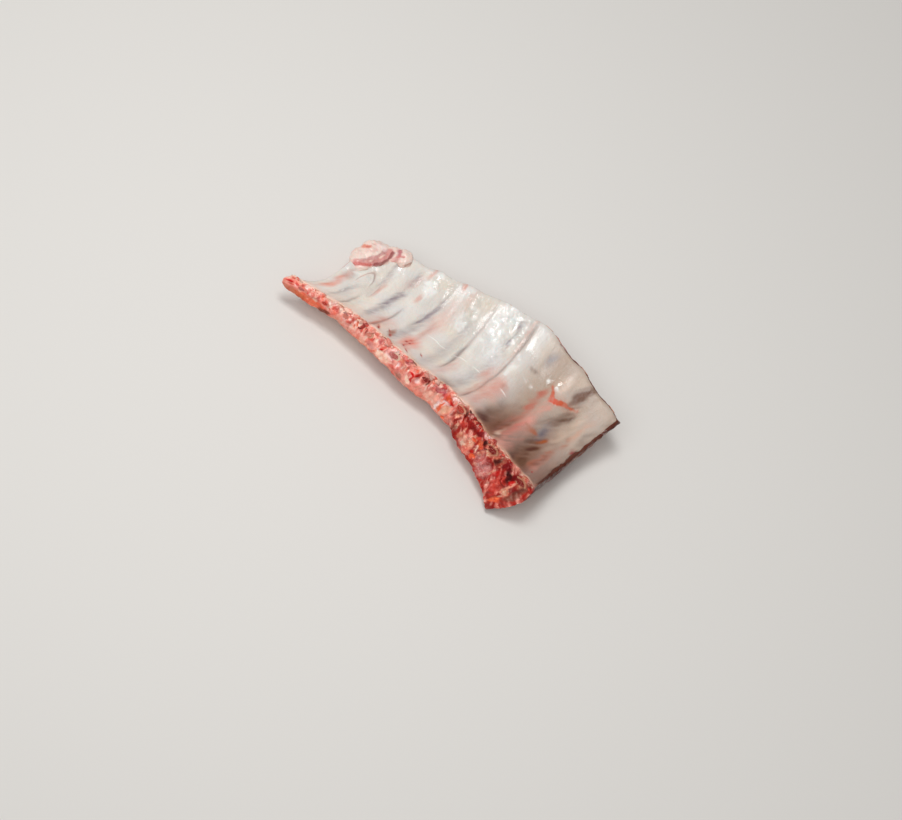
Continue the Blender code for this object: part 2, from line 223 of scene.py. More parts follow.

# Meat, fat and blood on the sawn face, with some painted shade, in the order they are laid: (s, t, radius in
# s, radius in t, slant, tone, strength). The slant is how far the mark leans along s over its whole radius
# in t.
SAWN_MARKS = (
    # The first three marks, orange, umber and rust low on the thin end, are partly painted shade on its
    # underside.
    (0.06, 0.72, 0.044, 0.24, 0.01, "orange", 0.8), (0.092, 0.84, 0.018, 0.2, -0.003, "umber", 0.8),
    (0.024, 0.84, 0.026, 0.22, 0.004, "rust", 0.65), (0.006, 0.3, 0.005, 0.12, -0.002, "blood", 0.95),
    (0.017, 0.2, 0.004, 0.09, 0.002, "blood", 0.8), (0.012, 0.44, 0.004, 0.1, -0.002, "red", 0.85),
    (0.013, 0.09, 0.006, 0.05, 0.001, "salmon", 0.9), (0.036, 0.34, 0.004, 0.08, 0.002, "blood", 0.75),
    (0.026, 0.13, 0.004, 0.09, 0.001, "red", 0.9), (0.027, 0.44, 0.004, 0.16, 0.002, "cream", 0.7),
    (0.04, 0.26, 0.004, 0.12, 0.001, "red", 0.6), (0.05, 0.28, 0.005, 0.12, 0, "red", 0.7),
    (0.06, 0.46, 0.006, 0.1, 0.003, "cream", 0.6), (0.072, 0.18, 0.004, 0.1, 0, "orange", 0.5),
    (0.084, 0.2, 0.003, 0.11, 0.001, "red", 0.75), (0.105, 0.12, 0.012, 0.09, 0, "white", 0.55),
    (0.098, 0.36, 0.005, 0.14, 0.003, "cream", 0.7), (0.12, 0.5, 0.004, 0.16, 0.003, "orange", 0.45),
    (0.14, 0.07, 0.012, 0.03, 0, "rose", 0.6), (0.167, 0.16, 0.003, 0.14, 0.005, "rose", 0.65),
    (0.158, 0.42, 0.01, 0.12, 0.003, "white", 0.6), (0.184, 0.31, 0.003, 0.09, 0.002, "red", 0.65),
    (0.2, 0.26, 0.004, 0.14, 0.002, "orange", 0.9), (0.197, 0.46, 0.003, 0.1, 0.002, "orange", 0.7),
    (0.192, 0.6, 0.01, 0.12, 0, "cream", 0.45), (0.222, 0.18, 0.009, 0.1, -0.003, "muscle", 0.85),
    (0.216, 0.36, 0.009, 0.08, 0.003, "blood", 0.6), (0.215, 0.31, 0.006, 0.05, -0.003, "dark", 0.9),
    (0.239, 0.25, 0.004, 0.15, 0.001, "muscle", 0.75), (0.24, 0.46, 0.004, 0.12, -0.002, "red", 0.5),
    (0.228, 0.27, 0.003, 0.12, 0.001, "cream", 0.75), (0.274, 0.1, 0.024, 0.05, 0, "rose", 0.5),
    (0.279, 0.24, 0.005, 0.06, 0, "cream", 0.85), (0.297, 0.2, 0.009, 0.13, 0.002, "rose", 0.95),
    (0.299, 0.22, 0.004, 0.07, 0.002, "magenta", 0.5), (0.276, 0.68, 0.016, 0.18, 0, "mauve", 0.6),
    (0.302, 0.72, 0.008, 0.16, -0.003, "orange", 0.5), (0.322, 0.14, 0.012, 0.07, 0, "red", 0.7),
    (0.319, 0.3, 0.008, 0.13, -0.004, "red", 0.8), (0.316, 0.36, 0.005, 0.05, -0.002, "blood", 0.95),
    (0.33, 0.68, 0.03, 0.24, 0.004, "cream", 0.9), (0.304, 0.58, 0.005, 0.1, 0.001, "white", 0.8),
    (0.355, 0.27, 0.022, 0.26, -0.004, "white", 0.75), (0.356, 0.25, 0.013, 0.18, -0.004, "muscle", 0.7),
    (0.376, 0.22, 0.003, 0.16, 0.002, "brown", 0.95), (0.37, 0.46, 0.003, 0.14, -0.004, "rose", 0.65),
    (0.405, 0.11, 0.024, 0.07, 0, "rose", 0.95), (0.408, 0.1, 0.017, 0.04, 0, "magenta", 0.45),
    (0.398, 0.25, 0.022, 0.05, 0, "tan", 0.6), (0.392, 0.48, 0.005, 0.17, 0, "white", 0.85),
    (0.403, 0.52, 0.004, 0.2, 0, "rose", 0.6), (0.418, 0.5, 0.007, 0.22, 0, "orange", 0.45),
    (0.378, 0.76, 0.01, 0.12, 0.002, "red", 0.65), (0.411, 0.8, 0.014, 0.14, 0, "brown", 0.55),
    (0.437, 0.18, 0.007, 0.12, 0, "salmon", 0.8), (0.452, 0.12, 0.008, 0.08, 0, "orange", 0.85),
    (0.461, 0.27, 0.009, 0.12, -0.003, "red", 0.95), (0.463, 0.27, 0.006, 0.09, -0.003, "blood", 0.95),
    (0.445, 0.36, 0.008, 0.07, 0, "blood", 1), (0.452, 0.54, 0.004, 0.18, 0.001, "blood", 0.9),
    (0.443, 0.68, 0.008, 0.14, 0.005, "cream", 0.95), (0.47, 0.46, 0.009, 0.12, 0, "white", 0.6),
    (0.47, 0.72, 0.012, 0.18, 0.003, "salmon", 0.6), (0.493, 0.22, 0.014, 0.17, -0.002, "muscle", 0.8),
    (0.485, 0.6, 0.003, 0.16, -0.006, "tan", 0.6), (0.496, 0.42, 0.003, 0.08, -0.005, "cream", 0.8),
    (0.506, 0.3, 0.003, 0.12, -0.002, "brown", 0.9), (0.515, 0.1, 0.006, 0.07, 0, "orange", 0.6),
    (0.511, 0.15, 0.002, 0.14, 0, "cream", 0.9), (0.548, 0.62, 0.036, 0.3, 0, "cream", 0.45),
    (0.551, 0.21, 0.025, 0.13, 0, "magenta", 0.85), (0.546, 0.2, 0.017, 0.08, 0, "mauve", 0.75),
    (0.595, 0.22, 0.011, 0.07, 0.002, "orange", 0.95), (0.611, 0.27, 0.012, 0.05, 0.002, "blood", 0.95),
    (0.592, 0.47, 0.016, 0.13, -0.004, "white", 0.9), (0.572, 0.74, 0.006, 0.28, 0.004, "white", 1),
    (0.585, 0.7, 0.004, 0.24, 0.002, "orange", 0.95), (0.608, 0.64, 0.016, 0.19, 0, "peach", 1),
    (0.614, 0.95, 0.014, 0.08, 0, "orange", 0.9), (0.62, 0.09, 0.018, 0.06, 0, "white", 0.9),
    (0.64, 0.5, 0.008, 0.16, -0.003, "muscle", 0.6), (0.653, 0.2, 0.018, 0.15, 0, "brown", 0.55),
    (0.656, 0.42, 0.01, 0.09, -0.002, "peach", 0.9), (0.674, 0.14, 0.004, 0.13, 0.002, "dark", 1),
    (0.687, 0.11, 0.007, 0.05, 0, "white", 0.95), (0.713, 0.18, 0.034, 0.13, 0.003, "muscle", 1),
    (0.722, 0.19, 0.014, 0.06, 0.002, "dark", 0.35), (0.668, 0.5, 0.006, 0.16, -0.005, "muscle", 0.9),
    (0.69, 0.4, 0.008, 0.12, -0.005, "red", 0.5), (0.716, 0.72, 0.01, 0.14, 0, "tan", 0.8),
    (0.676, 0.78, 0.018, 0.12, 0, "brown", 0.45), (0.753, 0.13, 0.011, 0.11, 0.001, "maroon", 0.95),
    (0.76, 0.28, 0.008, 0.07, 0, "red", 0.9), (0.753, 0.42, 0.008, 0.07, 0, "orange", 0.9),
    (0.776, 0.06, 0.013, 0.05, 0, "white", 0.85), (0.785, 0.18, 0.008, 0.07, 0.001, "dark", 1),
    (0.779, 0.36, 0.012, 0.13, 0.003, "orange", 0.9), (0.777, 0.5, 0.004, 0.12, 0.006, "cream", 1),
    (0.735, 0.68, 0.01, 0.17, 0.006, "cream", 0.95), (0.753, 0.64, 0.013, 0.17, 0.004, "peach", 0.7),
    (0.764, 0.84, 0.016, 0.12, 0, "salmon", 0.9), (0.776, 0.7, 0.008, 0.09, 0, "blood", 0.85),
    (0.788, 0.8, 0.01, 0.1, 0, "orange", 1), (0.8, 0.55, 0.008, 0.1, 0, "peach", 0.6),
    (0.822, 0.17, 0.026, 0.16, 0.003, "tan", 0.8), (0.816, 0.32, 0.014, 0.08, -0.003, "peach", 0.8),
    (0.801, 0.28, 0.004, 0.06, -0.003, "dark", 0.9), (0.838, 0.38, 0.01, 0.06, -0.004, "muscle", 0.6),
    (0.858, 0.23, 0.016, 0.12, -0.003, "tan", 0.6), (0.858, 0.24, 0.013, 0.1, -0.003, "dark", 0.95),
    (0.842, 0.7, 0.04, 0.26, 0.01, "mauve", 0.75), (0.889, 0.17, 0.015, 0.11, 0.001, "maroon", 0.8),
    (0.906, 0.18, 0.01, 0.09, 0.001, "maroon", 1), (0.934, 0.15, 0.011, 0.09, 0, "maroon", 0.95),
    (0.877, 0.32, 0.004, 0.06, 0, "peach", 0.8), (0.922, 0.28, 0.016, 0.08, 0.004, "dark", 1),
    (0.89, 0.48, 0.01, 0.14, -0.006, "blood", 0.6), (0.925, 0.58, 0.026, 0.22, 0.004, "red", 0.8),
    (0.945, 0.28, 0.007, 0.08, 0.003, "blood", 0.8), (0.93, 0.47, 0.014, 0.03, 0.006, "dark", 0.75),
    (0.963, 0.12, 0.022, 0.1, 0, "tan", 0.75), (0.962, 0.56, 0.015, 0.09, 0.003, "peach", 1),
    (0.985, 0.4, 0.01, 0.3, 0, "brown", 0.65), (0.974, 0.8, 0.012, 0.1, 0, "orange", 1),
    (0.95, 0.78, 0.012, 0.1, 0.005, "red", 0.6),
)
# How far each tone of flesh stands out from the sawn face, in metres.
TONE_HEIGHTS = {
    "dark": -0.0018, "maroon": -0.0009, "muscle": -0.0006, "blood": -0.0005, "magenta": -0.0003,
    "brown": -0.0003, "cream": 0.0006, "white": 0.0007, "peach": 0.0008, "orange": 0.0008, "salmon": 0.0003,
}

# Lumps of fat on the thin end's back corner: (s, v, height, radii along X, Y and Z, turn).
LUMPS = (
    (0.046, 0.93, -0.0028, (0.015, 0.0135, 0.0078), 0.3),
    (0.024, 0.8, -0.0022, (0.012, 0.0135, 0.0062), 0),
    (0.03, 0.735, -0.0024, (0.0095, 0.006, 0.0044), 0.6),
    (0.074, 0.9, -0.003, (0.0065, 0.015, 0.0062), -0.2),
    (0.128, 0.985, -0.0022, (0.0105, 0.0095, 0.0075), 0.2),
    (0.098, 0.975, -0.0034, (0.008, 0.009, 0.0055), 0),
    (0.088, 0.972, -0.003, (0.0075, 0.0085, 0.0058), 0),
)
# Muscle and stains on the lumps: (points (s, v) of a run, half width, tone, strength).
LUMP_MARKS = (
    (((0.076, 1), (0.076, 0.9), (0.062, 0.82), (0.04, 0.76), (0.016, 0.71)), 0.0034, "rose", 0.8),
    (((0.064, 0.98), (0.06, 0.88), (0.046, 0.82), (0.03, 0.77)), 0.0018, "mauve", 0.85),
    (((0.088, 0.99), (0.09, 0.9), (0.084, 0.83), (0.066, 0.78)), 0.0015, "muscle", 0.85),
    (((0.058, 0.77), (0.038, 0.72), (0.016, 0.69)), 0.0012, "red", 0.7),
    (((0.072, 0.94), (0.064, 0.87)), 0.0008, "cream", 0.7),
    (((0.052, 0.81), (0.036, 0.77)), 0.0007, "cream", 0.6),
    (((0.002, 0.955), (0.014, 0.95)), 0.0024, "orange", 0.75),
    (((0.006, 0.96), (0.012, 0.955)), 0.0012, "red", 0.55),
    (((0.104, 1.05), (0.112, 0.98)), 0.0022, "magenta", 0.8),
    (((0.112, 0.97), (0.125, 0.98)), 0.0014, "rose", 0.8),
    (((0.106, 0.92), (0.114, 0.95)), 0.002, "rose", 0.5),
    (((0.146, 0.91), (0.16, 0.96)), 0.001, "rust", 0.55),
    (((0.162, 0.98), (0.168, 1.03)), 0.001, "muscle", 0.7),
    (((0.04, 0.99), (0.055, 1.02)), 0.0034, "white", 0.6),
)
# Colours of meat, fat and skin, and of one painted sheen, as their three 0 to 255 screen values.
TONES = {
    "dark": (70, 8, 10), "maroon": (116, 10, 20), "muscle": (142, 26, 22), "magenta": (184, 52, 74),
    "blood": (204, 10, 8), "red": (204, 72, 58), "rose": (206, 116, 112), "mauve": (200, 138, 134),
    "orange": (230, 106, 66), "salmon": (236, 150, 132), "pink": (214, 142, 124), "peach": (232, 176, 148),
    "tan": (204, 146, 116), "brown": (112, 82, 66), "cream": (243, 212, 190), "white": (246, 226, 222),
    "mist": (164, 156, 156), "plum": (92, 76, 88), "rust": (166, 88, 50), "umber": (92, 48, 34),
    "clay": (186, 116, 98), "bark": (112, 74, 54), "painted_sheen": (243, 242, 238),
}


def shade(red, green, blue):
    """A colour for Blender, in linear light, from its three 0 to 255 screen values."""
    values = np.array((red, green, blue)) / 255
    linear = np.where(values < 0.04045, values / 12.92, ((values + 0.055) / 1.055) ** 2.4)
    return tuple(float(x) for x in linear)


# ---------------------------------------------------------------------------------------------------------
# Shape rules.


def through(stations, at):
    """The value at each place of a smooth curve through the stations."""
    places, values = np.array(stations, float).T
    slopes = np.gradient(values, places)
    at = np.clip(np.asarray(at, float), places[0], places[-1])
    left = np.clip(np.searchsorted(places, at, side="right") - 1, 0, len(places) - 2)
    span = places[left + 1] - places[left]
    f = (at - places[left]) / span
    rise = values[left + 1] - values[left]
    start, end = slopes[left] * span, slopes[left + 1] * span
    return values[left] + f * start + f * f * (3 * rise - 2 * start - end) + f**3 * (start + end - 2 * rise)


def strongest(masks):
    """The strongest of several masks at each place."""
    return np.max(list(masks), axis=0)


def swelling(offset, reach):
    """A rounded rise from 0 at its reach to 1 in its middle."""
    return np.cos(np.clip(offset / reach, -1, 1) * math.pi / 2) ** 2


def bone_bump(s):
    """How much of a bone's swelling lies at s, from 0 between the ribs to 1 over a bone."""
    return strongest(swelling(s - place, BUMP_REACH * width / EDGE_LENGTH) for place, width, _, _ in RIBS)


def bare_membrane(s, v):
    """The smooth membrane surface, where the CAD source stands before it is centred."""
    tip = TIP_REACH * np.exp(-v / TIP_FADE) * (1 - np.clip(s, 0, 1)) ** 16
    x = EDGE_LENGTH * s + through(RIB_LEAN, s) * v + through(RIB_BOW, s) * 4 * v * (1 - v) - tip
    front, back = through(FRONT_Y, s), through(BACK_Y, s)
    y = front + (back - front) * v + SCALLOP * bone_bump(s) * np.clip(v, 0, 1) ** 6
    towards_front = np.maximum(LOWEST_V - v, 0) / LOWEST_V
    towards_back = np.maximum(v - LOWEST_V, 0) / (1 - LOWEST_V)
    rise = through(FRONT_RISE, s) * towards_front**2 + through(BACK_RISE, s) * towards_back**2
    return np.stack([x, y, through(HOLLOW_Z, s) + rise], axis=-1)


def unit(vectors):
    """The vectors, each made one long."""
    return vectors / np.linalg.norm(vectors, axis=-1, keepdims=True)


def upward(s, v):
    """The unit direction that points up out of the membrane."""
    step = 0.004
    along = bare_membrane(s + step, v) - bare_membrane(s - step, v)
    across = bare_membrane(s, v + step) - bare_membrane(s, v - step)
    return unit(np.cross(along, across))


def thickness(s, v):
    """The meat's thickness, blended from its values at the front, in the middle and at the back."""
    front, middle, back = (through(x, s) for x in (FRONT_THICK, MIDDLE_THICK, BACK_THICK))
    near_front = np.clip(1 - v / LOWEST_V, 0, 1) ** 1.6
    near_back = np.clip((v - LOWEST_V) / (1 - LOWEST_V), 0, 1) ** 1.6
    return middle + (front - middle) * near_front + (back - middle) * near_back


def slab_point(s, v, t, lift=0.0):
    """A point of the CAD slab, raised by lift along the membrane's upward direction."""
    middle = 4 * t * (1 - t)
    point = bare_membrane(s, v) + upward(s, v) * (lift - t * thickness(s, v))[..., None]
    point[..., 0] -= END_UNDERCUT * t**1.5 * s**6
    point[..., 0] += middle * (END_BULGE * at_edge(s) - EDGE_BULGE * at_edge(1 - s))
    point[..., 1] += middle * EDGE_BULGE * (at_edge(v) - at_edge(1 - v))
    return point + CENTRING


def at_edge(x):
    """0 inside the slab, rising to 1 where the coordinate reaches 1."""
    return np.clip((x - 0.97) / 0.03, 0, 1) ** 2


def find_centring():
    """How far the CAD model was slid to stand over the origin, from its low corner and the one here."""
    s, v, t = np.meshgrid(*(np.linspace(0, 1, n + 1) for n in CAD_STEPS), indexing="ij")
    corner = slab_point(s, v, t).min(axis=(0, 1, 2))
    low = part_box("meat")[0]
    return np.array((low[0] - corner[0], low[1] - corner[1], 0))


CENTRING = np.zeros(3)
CENTRING = find_centring()

# ---------------------------------------------------------------------------------------------------------
# Patterns and masks.


def flat_place(s, v, depth=0):
    """Points of a pattern laid out flat, in metres."""
    return np.stack([s * EDGE_LENGTH, v * PATTERN_WIDTH, depth + np.zeros_like(s)], axis=-1)


def fibre_place(flat, lean, squeeze):
    """Flat pattern points for fibres that run across the rack and lean along it."""
    x, y, z = np.moveaxis(flat, -1, 0)
    return np.stack([x - lean * y, y * squeeze, z], axis=-1)


def rim_distance(s, v):
    """How far a place is from the nearest rim of the membrane, in metres."""
    return np.minimum(np.minimum(v, 1 - v) * PATTERN_WIDTH, np.minimum(s, 1 - s) * EDGE_LENGTH)


def across_rack(v):
    """1 in the middle of the rack's width, falling to 0 at its front and back edges."""
    return np.sin(np.pi * np.clip(v, 0, 1)) ** 0.5


def mottle(points, size, seed, octaves=1):
    """Smooth noise whose blotches are about size across, from -1 to 1 where it has one octave."""
    cells = 32
    lattice = np.random.default_rng(seed).uniform(-1, 1, (cells, cells, cells))
    total = np.zeros(points.shape[:-1])
    for octave in range(octaves):
        place = points * (2**octave / size) + 7.3 * octave
        cell = np.floor(place).astype(int)
        f = place - cell
        f = f * f * (3 - 2 * f)
        value = np.zeros_like(total)
        for corner in product((0, 1), repeat=3):
            weight = np.prod(np.where(corner, f, 1 - f), axis=-1)
            x, y, z = np.moveaxis((cell + corner) % cells, -1, 0)
            value += weight * lattice[x, y, z]
        total += value / 1.6**octave
    return total


def smooth(low, high, x):
    """0 below low, 1 above high, and a smooth step between them."""
    f = np.clip((x - low) / (high - low), 0, 1)
    return f * f * (3 - 2 * f)


def hump(distance, width):
    """A bell from 1 at no distance to almost 0 at twice the width."""
    return np.exp(-((distance / width) ** 2))


def near(distance, reach):
    """1 at no distance, and about a third of that at each further reach."""
    return np.exp(-distance / reach)


def oval(row, a, b, crisp):
    """One mark's mask over two coordinates. crisp runs from 0, a soft bell, to 1, a sharp edge."""
    centre_a, centre_b, radius_a, radius_b, slant, *_, strength = row
    up = (b - centre_b) / radius_b
    far = np.hypot((a - centre_a - slant * up) / radius_a, up)
    return strength * (1 - smooth(crisp * 0.8, 1.7 - crisp * 0.5, far))


def lay(colours, tone, mask):
    """Mixes a named tone or other colours into an array of colours where the mask is."""
    if isinstance(tone, str):
        tone = np.array(shade(*TONES[tone]))
    return colours + (tone - colours) * mask[..., None]


def run_distance(points, run):
    """Each point's distance to a line through the run's points."""
    distances = []
    for start, end in zip(run, run[1:]):
        way = end - start
        f = np.clip(((points - start) @ way) / (way @ way), 0, 1)
        distances.append(np.linalg.norm(points - start - f[..., None] * way, axis=-1))
    return np.min(distances, axis=0)


# ---------------------------------------------------------------------------------------------------------
# Meshes.


def settings_of(name):
    """The scene's settings for one section."""
    return getattr(bpy.context.scene, name)


def show(obj):
    """Puts an object in the scene."""
    bpy.context.scene.collection.objects.link(obj)
    return obj


def add_piece(mesh):
    """A shown object at the origin with this mesh and its name."""
    return show(bpy.data.objects.new(mesh.name, mesh))


def finish_piece(piece, slot, *nodes):
    """Checks that a piece has faces, hangs it under the root body and hides the CAD nodes it stands in for;
    slot is not used.
    """
    if not piece.data.polygons:
        raise RuntimeError(f"{piece.name} has no faces")
    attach(piece, "root")
    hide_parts(*nodes)


def store(mesh, kind="FLOAT", **arrays):
    """Keeps arrays on the mesh under their names, with one value for each vertex."""
    field = {"FLOAT": "value", "FLOAT_VECTOR": "vector", "FLOAT_COLOR": "color"}[kind]
    for name, values in arrays.items():
        attribute = mesh.attributes.new(name, kind, "POINT")
        attribute.data.foreach_set(field, np.ascontiguousarray(values, dtype=np.float32).ravel())


def store_tone(mesh, colours):
    """Keeps each vertex's colour on the mesh, for its material."""
    store(mesh, "FLOAT_COLOR", tone=np.column_stack([np.clip(colours, 0, 1), np.ones(len(colours))]))


def vertex_vectors(mesh, kind="co"):
    """The vertices' places, or their normals."""
    values = np.empty(len(mesh.vertices) * 3, np.float32)
    mesh.vertices.foreach_get(kind, values)
    return values.reshape(-1, 3)


def move_vertices(mesh, points):
    """Sets the vertices' places."""
    mesh.vertices.foreach_set("co", points.astype(np.float32).ravel())


def brick_mesh(name, place, steps, panel_steps):
    """A closed six-sided mesh over a lattice of steps = (along s, along v, along t).

    place turns three arrays of lattice fractions into points. panel_steps gives, for each of the six panels
    in the order low s, high s, low v, high v, low t, high t, how many lattice steps one of its faces spans.
    Returns the mesh and the s, v and t of its vertices.
    """
    ids = -np.ones([n + 1 for n in steps], int)
    used, faces = [], []

    def node(grid):
        """The number of the vertex at a place of the lattice, new the first time it is asked for."""
        if ids[grid] < 0:
            ids[grid] = len(used)
            used.append(grid)
        return ids[grid]

    for panel, span in enumerate(panel_steps):
        fixed, top = divmod(panel, 2)
        level = steps[fixed] * top
        first, second = (fixed + 1) % 3, (fixed + 2) % 3
        ends = steps[first], steps[second]

        def at(a, b):
            """The number of the vertex at steps a and b along this panel's two ways."""
            grid = [0, 0, 0]
            grid[fixed], grid[first], grid[second] = level, a, b
            return node(tuple(grid))

        for a, b in product(range(0, ends[0], span), range(0, ends[1], span)):
            a2, b2 = min(a + span, ends[0]), min(b + span, ends[1])
            low_row = range(a, a2) if b == 0 else (a,)
            right_row = range(b, b2) if a2 == ends[0] else (b,)
            high_row = range(a2, a, -1) if b2 == ends[1] else (a2,)
            left_row = range(b2, b, -1) if a == 0 else (b2,)
            ring = [at(x, b) for x in low_row] + [at(a2, y) for y in right_row]
            ring += [at(x, b2) for x in high_row] + [at(a, y) for y in left_row]
            faces.append(ring if top else ring[::-1])
    s, v, t = (np.array(used) / np.array(steps)).T
    mesh = bpy.data.meshes.new(name)
    mesh.from_pydata(place(s, v, t).tolist(), [], faces)
    mesh.update()
    mesh.shade_smooth()
    return mesh, s, v, t


def add_uv(mesh, across, up):
    """A UV map in metres over the surface, so that a material's pattern follows it."""
    layer = mesh.uv_layers.new(name="surface")
    corners = np.empty(len(mesh.loops), np.int32)
    mesh.loops.foreach_get("vertex_index", corners)
    layer.data.foreach_set("uv", np.stack([across, up], axis=-1)[corners].astype(np.float32).ravel())


def take_shape(obj):
    """Makes what an object's modifiers show its own plain mesh, and removes them."""
    graph = bpy.context.evaluated_depsgraph_get()
    mesh = bpy.data.meshes.new_from_object(obj.evaluated_get(graph), depsgraph=graph)
    obj.modifiers.clear()
    old, obj.data = obj.data, mesh
    bpy.data.meshes.remove(old)
    mesh.name = obj.name
    return mesh


def shape_with(obj, group, **inputs):
    """Runs a Geometry Nodes group on an object and keeps the result as its plain mesh."""
    modifier = obj.modifiers.new(group.name, "NODES")
    modifier.node_group = group
    sockets = {item.name: item.identifier for item in group.interface.items_tree if item.in_out == "INPUT"}
    for key, value in inputs.items():
        modifier[sockets[key.replace("_", " ")]] = value
    return take_shape(obj)


# ---------------------------------------------------------------------------------------------------------
# Node trees.


def connect(tree, value, socket):
    """Links a socket or sets a plain value."""
    if isinstance(value, bpy.types.NodeSocket):
        tree.links.new(value, socket)
    else:
        socket.default_value = value


def add_node(tree, kind, settings=None, **inputs):
    """A node with settings, and with inputs by name, where _ is a space and in_3 is the fourth."""
    node = tree.nodes.new(kind)
    for key, value in (settings or {}).items():
        setattr(node, key, value)
    for key, value in inputs.items():
        connect(tree, value, node.inputs[int(key[3:]) if key.startswith("in_") else key.replace("_", " ")])
    return node


def calculate(tree, operation, *values):
    """A Math node's result."""
    inputs = {f"in_{number}": value for number, value in enumerate(values)}
    return add_node(tree, "ShaderNodeMath", {"operation": operation}, **inputs).outputs[0]


def plus(tree, first, second):
    """The sum of two values."""
    return calculate(tree, "ADD", first, second)


def minus(tree, first, second):
    """The second value taken from the first."""
    return calculate(tree, "SUBTRACT", first, second)


def times(tree, first, second):
    """The product of two values."""
    return calculate(tree, "MULTIPLY", first, second)


def vector_math(tree, operation, **inputs):
    """A Vector Math node's result."""
    return add_node(tree, "ShaderNodeVectorMath", {"operation": operation}, **inputs).outputs[0]


def noise(tree, place, scale, detail=2.0, **more):
    """A noise texture's value."""
    more |= {"Vector": place, "Scale": scale, "Detail": detail}
    return add_node(tree, "ShaderNodeTexNoise", **more).outputs["Fac"]


def remap(tree, value, low, high, to_low=0.0, to_high=1.0):
    """The value, carried from one range to another and held inside it."""
    inputs = {"in_0": value, "in_1": low, "in_2": high, "in_3": to_low, "in_4": to_high}
    return add_node(tree, "ShaderNodeMapRange", {"clamp": True}, **inputs).outputs[0]


def mark(tree, name):
    """A number kept on the mesh, for a material."""
    return add_node(tree, "ShaderNodeAttribute", {"attribute_name": name}).outputs["Fac"]


def tinted(tree, *layers):
    """The mesh's own tone with layers over it: (mask or its name on the mesh, strength, colour, blend)."""
    colour = add_node(tree, "ShaderNodeAttribute", {"attribute_name": "tone"}).outputs["Color"]
    for mask, strength, over, blend in layers:
        factor = times(tree, mark(tree, mask) if isinstance(mask, str) else mask, strength)
        settings = {"data_type": "RGBA", "blend_type": blend}
        inputs = {"in_0": factor, "in_6": colour, "in_7": (*over, 1)}
        colour = add_node(tree, "ShaderNodeMix", settings, **inputs).outputs[2]
    return colour


def new_group(name, kind, inputs, outputs):
    """An empty node group and the sockets inside it that hold its inputs and its results.

    Each input is (name, socket kind, default) and each output is a name and a socket kind.
    """
    group = bpy.data.node_groups.new(name, kind)
    for title, socket_kind, default in inputs:
        socket = group.interface.new_socket(title, in_out="INPUT", socket_type="NodeSocket" + socket_kind)
        if default is not None:
            socket.default_value = default
    for title, socket_kind in outputs.items():
        group.interface.new_socket(title, in_out="OUTPUT", socket_type="NodeSocket" + socket_kind)
    return group, group.nodes.new("NodeGroupInput").outputs, group.nodes.new("NodeGroupOutput").inputs


def geometry_group(name, *inputs):
    """An empty Geometry Nodes group that also takes a geometry and a material."""
    inputs = [("Geometry", "Geometry", None), *inputs, ("Material", "Material", None)]
    return new_group(name, "GeometryNodeTree", inputs, {"Geometry": "Geometry"})


def kept(tree, name, kind="FLOAT"):
    """What the mesh keeps under a name, for Geometry Nodes."""
    return add_node(tree, "GeometryNodeInputNamedAttribute", {"data_type": kind}, Name=name).outputs[0]


def keep(tree, geometry, name, value, kind="FLOAT", domain="POINT", chosen=True):
    """The geometry with a value kept on it under a name."""
    settings = {"data_type": kind, "domain": domain}
    inputs = {"Geometry": geometry, "Name": name, "Value": value, "Selection": chosen}
    return add_node(tree, "GeometryNodeStoreNamedAttribute", settings, **inputs).outputs[0]


def point_place(tree):
    """Where each point is, for Geometry Nodes."""
    return tree.nodes.new("GeometryNodeInputPosition").outputs[0]


def raised(tree, geometry, rise):
    """The geometry with its points moved along their normals."""
    normal = tree.nodes.new("GeometryNodeInputNormal").outputs[0]
    offset = vector_math(tree, "SCALE", Vector=normal, Scale=rise)
    return add_node(tree, "GeometryNodeSetPosition", Geometry=geometry, Offset=offset).outputs[0]


def end_group(group, given, result, geometry):
    """Ends a Geometry Nodes group with real geometry in its material."""
    real = add_node(group, "GeometryNodeRealizeInstances", Geometry=geometry).outputs[0]
    coloured = add_node(group, "GeometryNodeSetMaterial", Geometry=real, Material=given["Material"])
    connect(group, coloured.outputs[0], result[0])
    return group


# ---------------------------------------------------------------------------------------------------------
# What the materials share.

MEAT_SCATTER = (1.0, 0.45, 0.35)
MEAT_IOR = 1.36


def uneven_group():
    """Shader group: blotches and fine grain that break up a colour and a surface."""
    inputs = [("Vector", "Vector", None), ("Blotch Scale", "Float", 120.0), ("Grain Scale", "Float", 900.0)]
    outputs = {"Blotch": "Float", "Grain": "Float"}
    group, given, result = new_group("Uneven", "ShaderNodeTree", inputs, outputs)
    blotch = noise(group, given[0], given[1], 4.0, Roughness=0.6)
    grain = noise(group, given[0], given[2], 3.0)
    connect(group, remap(group, blotch, 0.3, 0.7), result[0])
    connect(group, remap(group, grain, 0.3, 0.7), result[1])
    return group


def wet_group():
    """Shader group: how a wet surface's gloss comes and goes."""
    ends = (("Dullest", 0.5), ("Glossiest", 0.25), ("Driest", 0.1), ("Wettest", 0.6))
    inputs = [("Vector", "Vector", None), ("Scale", "Float", 60.0)]
    inputs += [(name, "Float", default) for name, default in ends]
    outputs = {"Roughness": "Float", "Coat": "Float"}
    group, given, result = new_group("Wet Film", "ShaderNodeTree", inputs, outputs)
    film = noise(group, given["Vector"], given["Scale"], 3.0)
    connect(group, remap(group, film, 0.35, 0.62, given["Dullest"], given["Glossiest"]), result[0])
    connect(group, remap(group, film, 0.35, 0.62, given["Driest"], given["Wettest"]), result[1])
    return group


def shared(tree, name, build, **inputs):
    """The outputs of a shared shader group, which is built the first time it is asked for."""
    group = bpy.data.node_groups.get(name) or build()
    return add_node(tree, "ShaderNodeGroup", {"node_tree": group}, **inputs).outputs


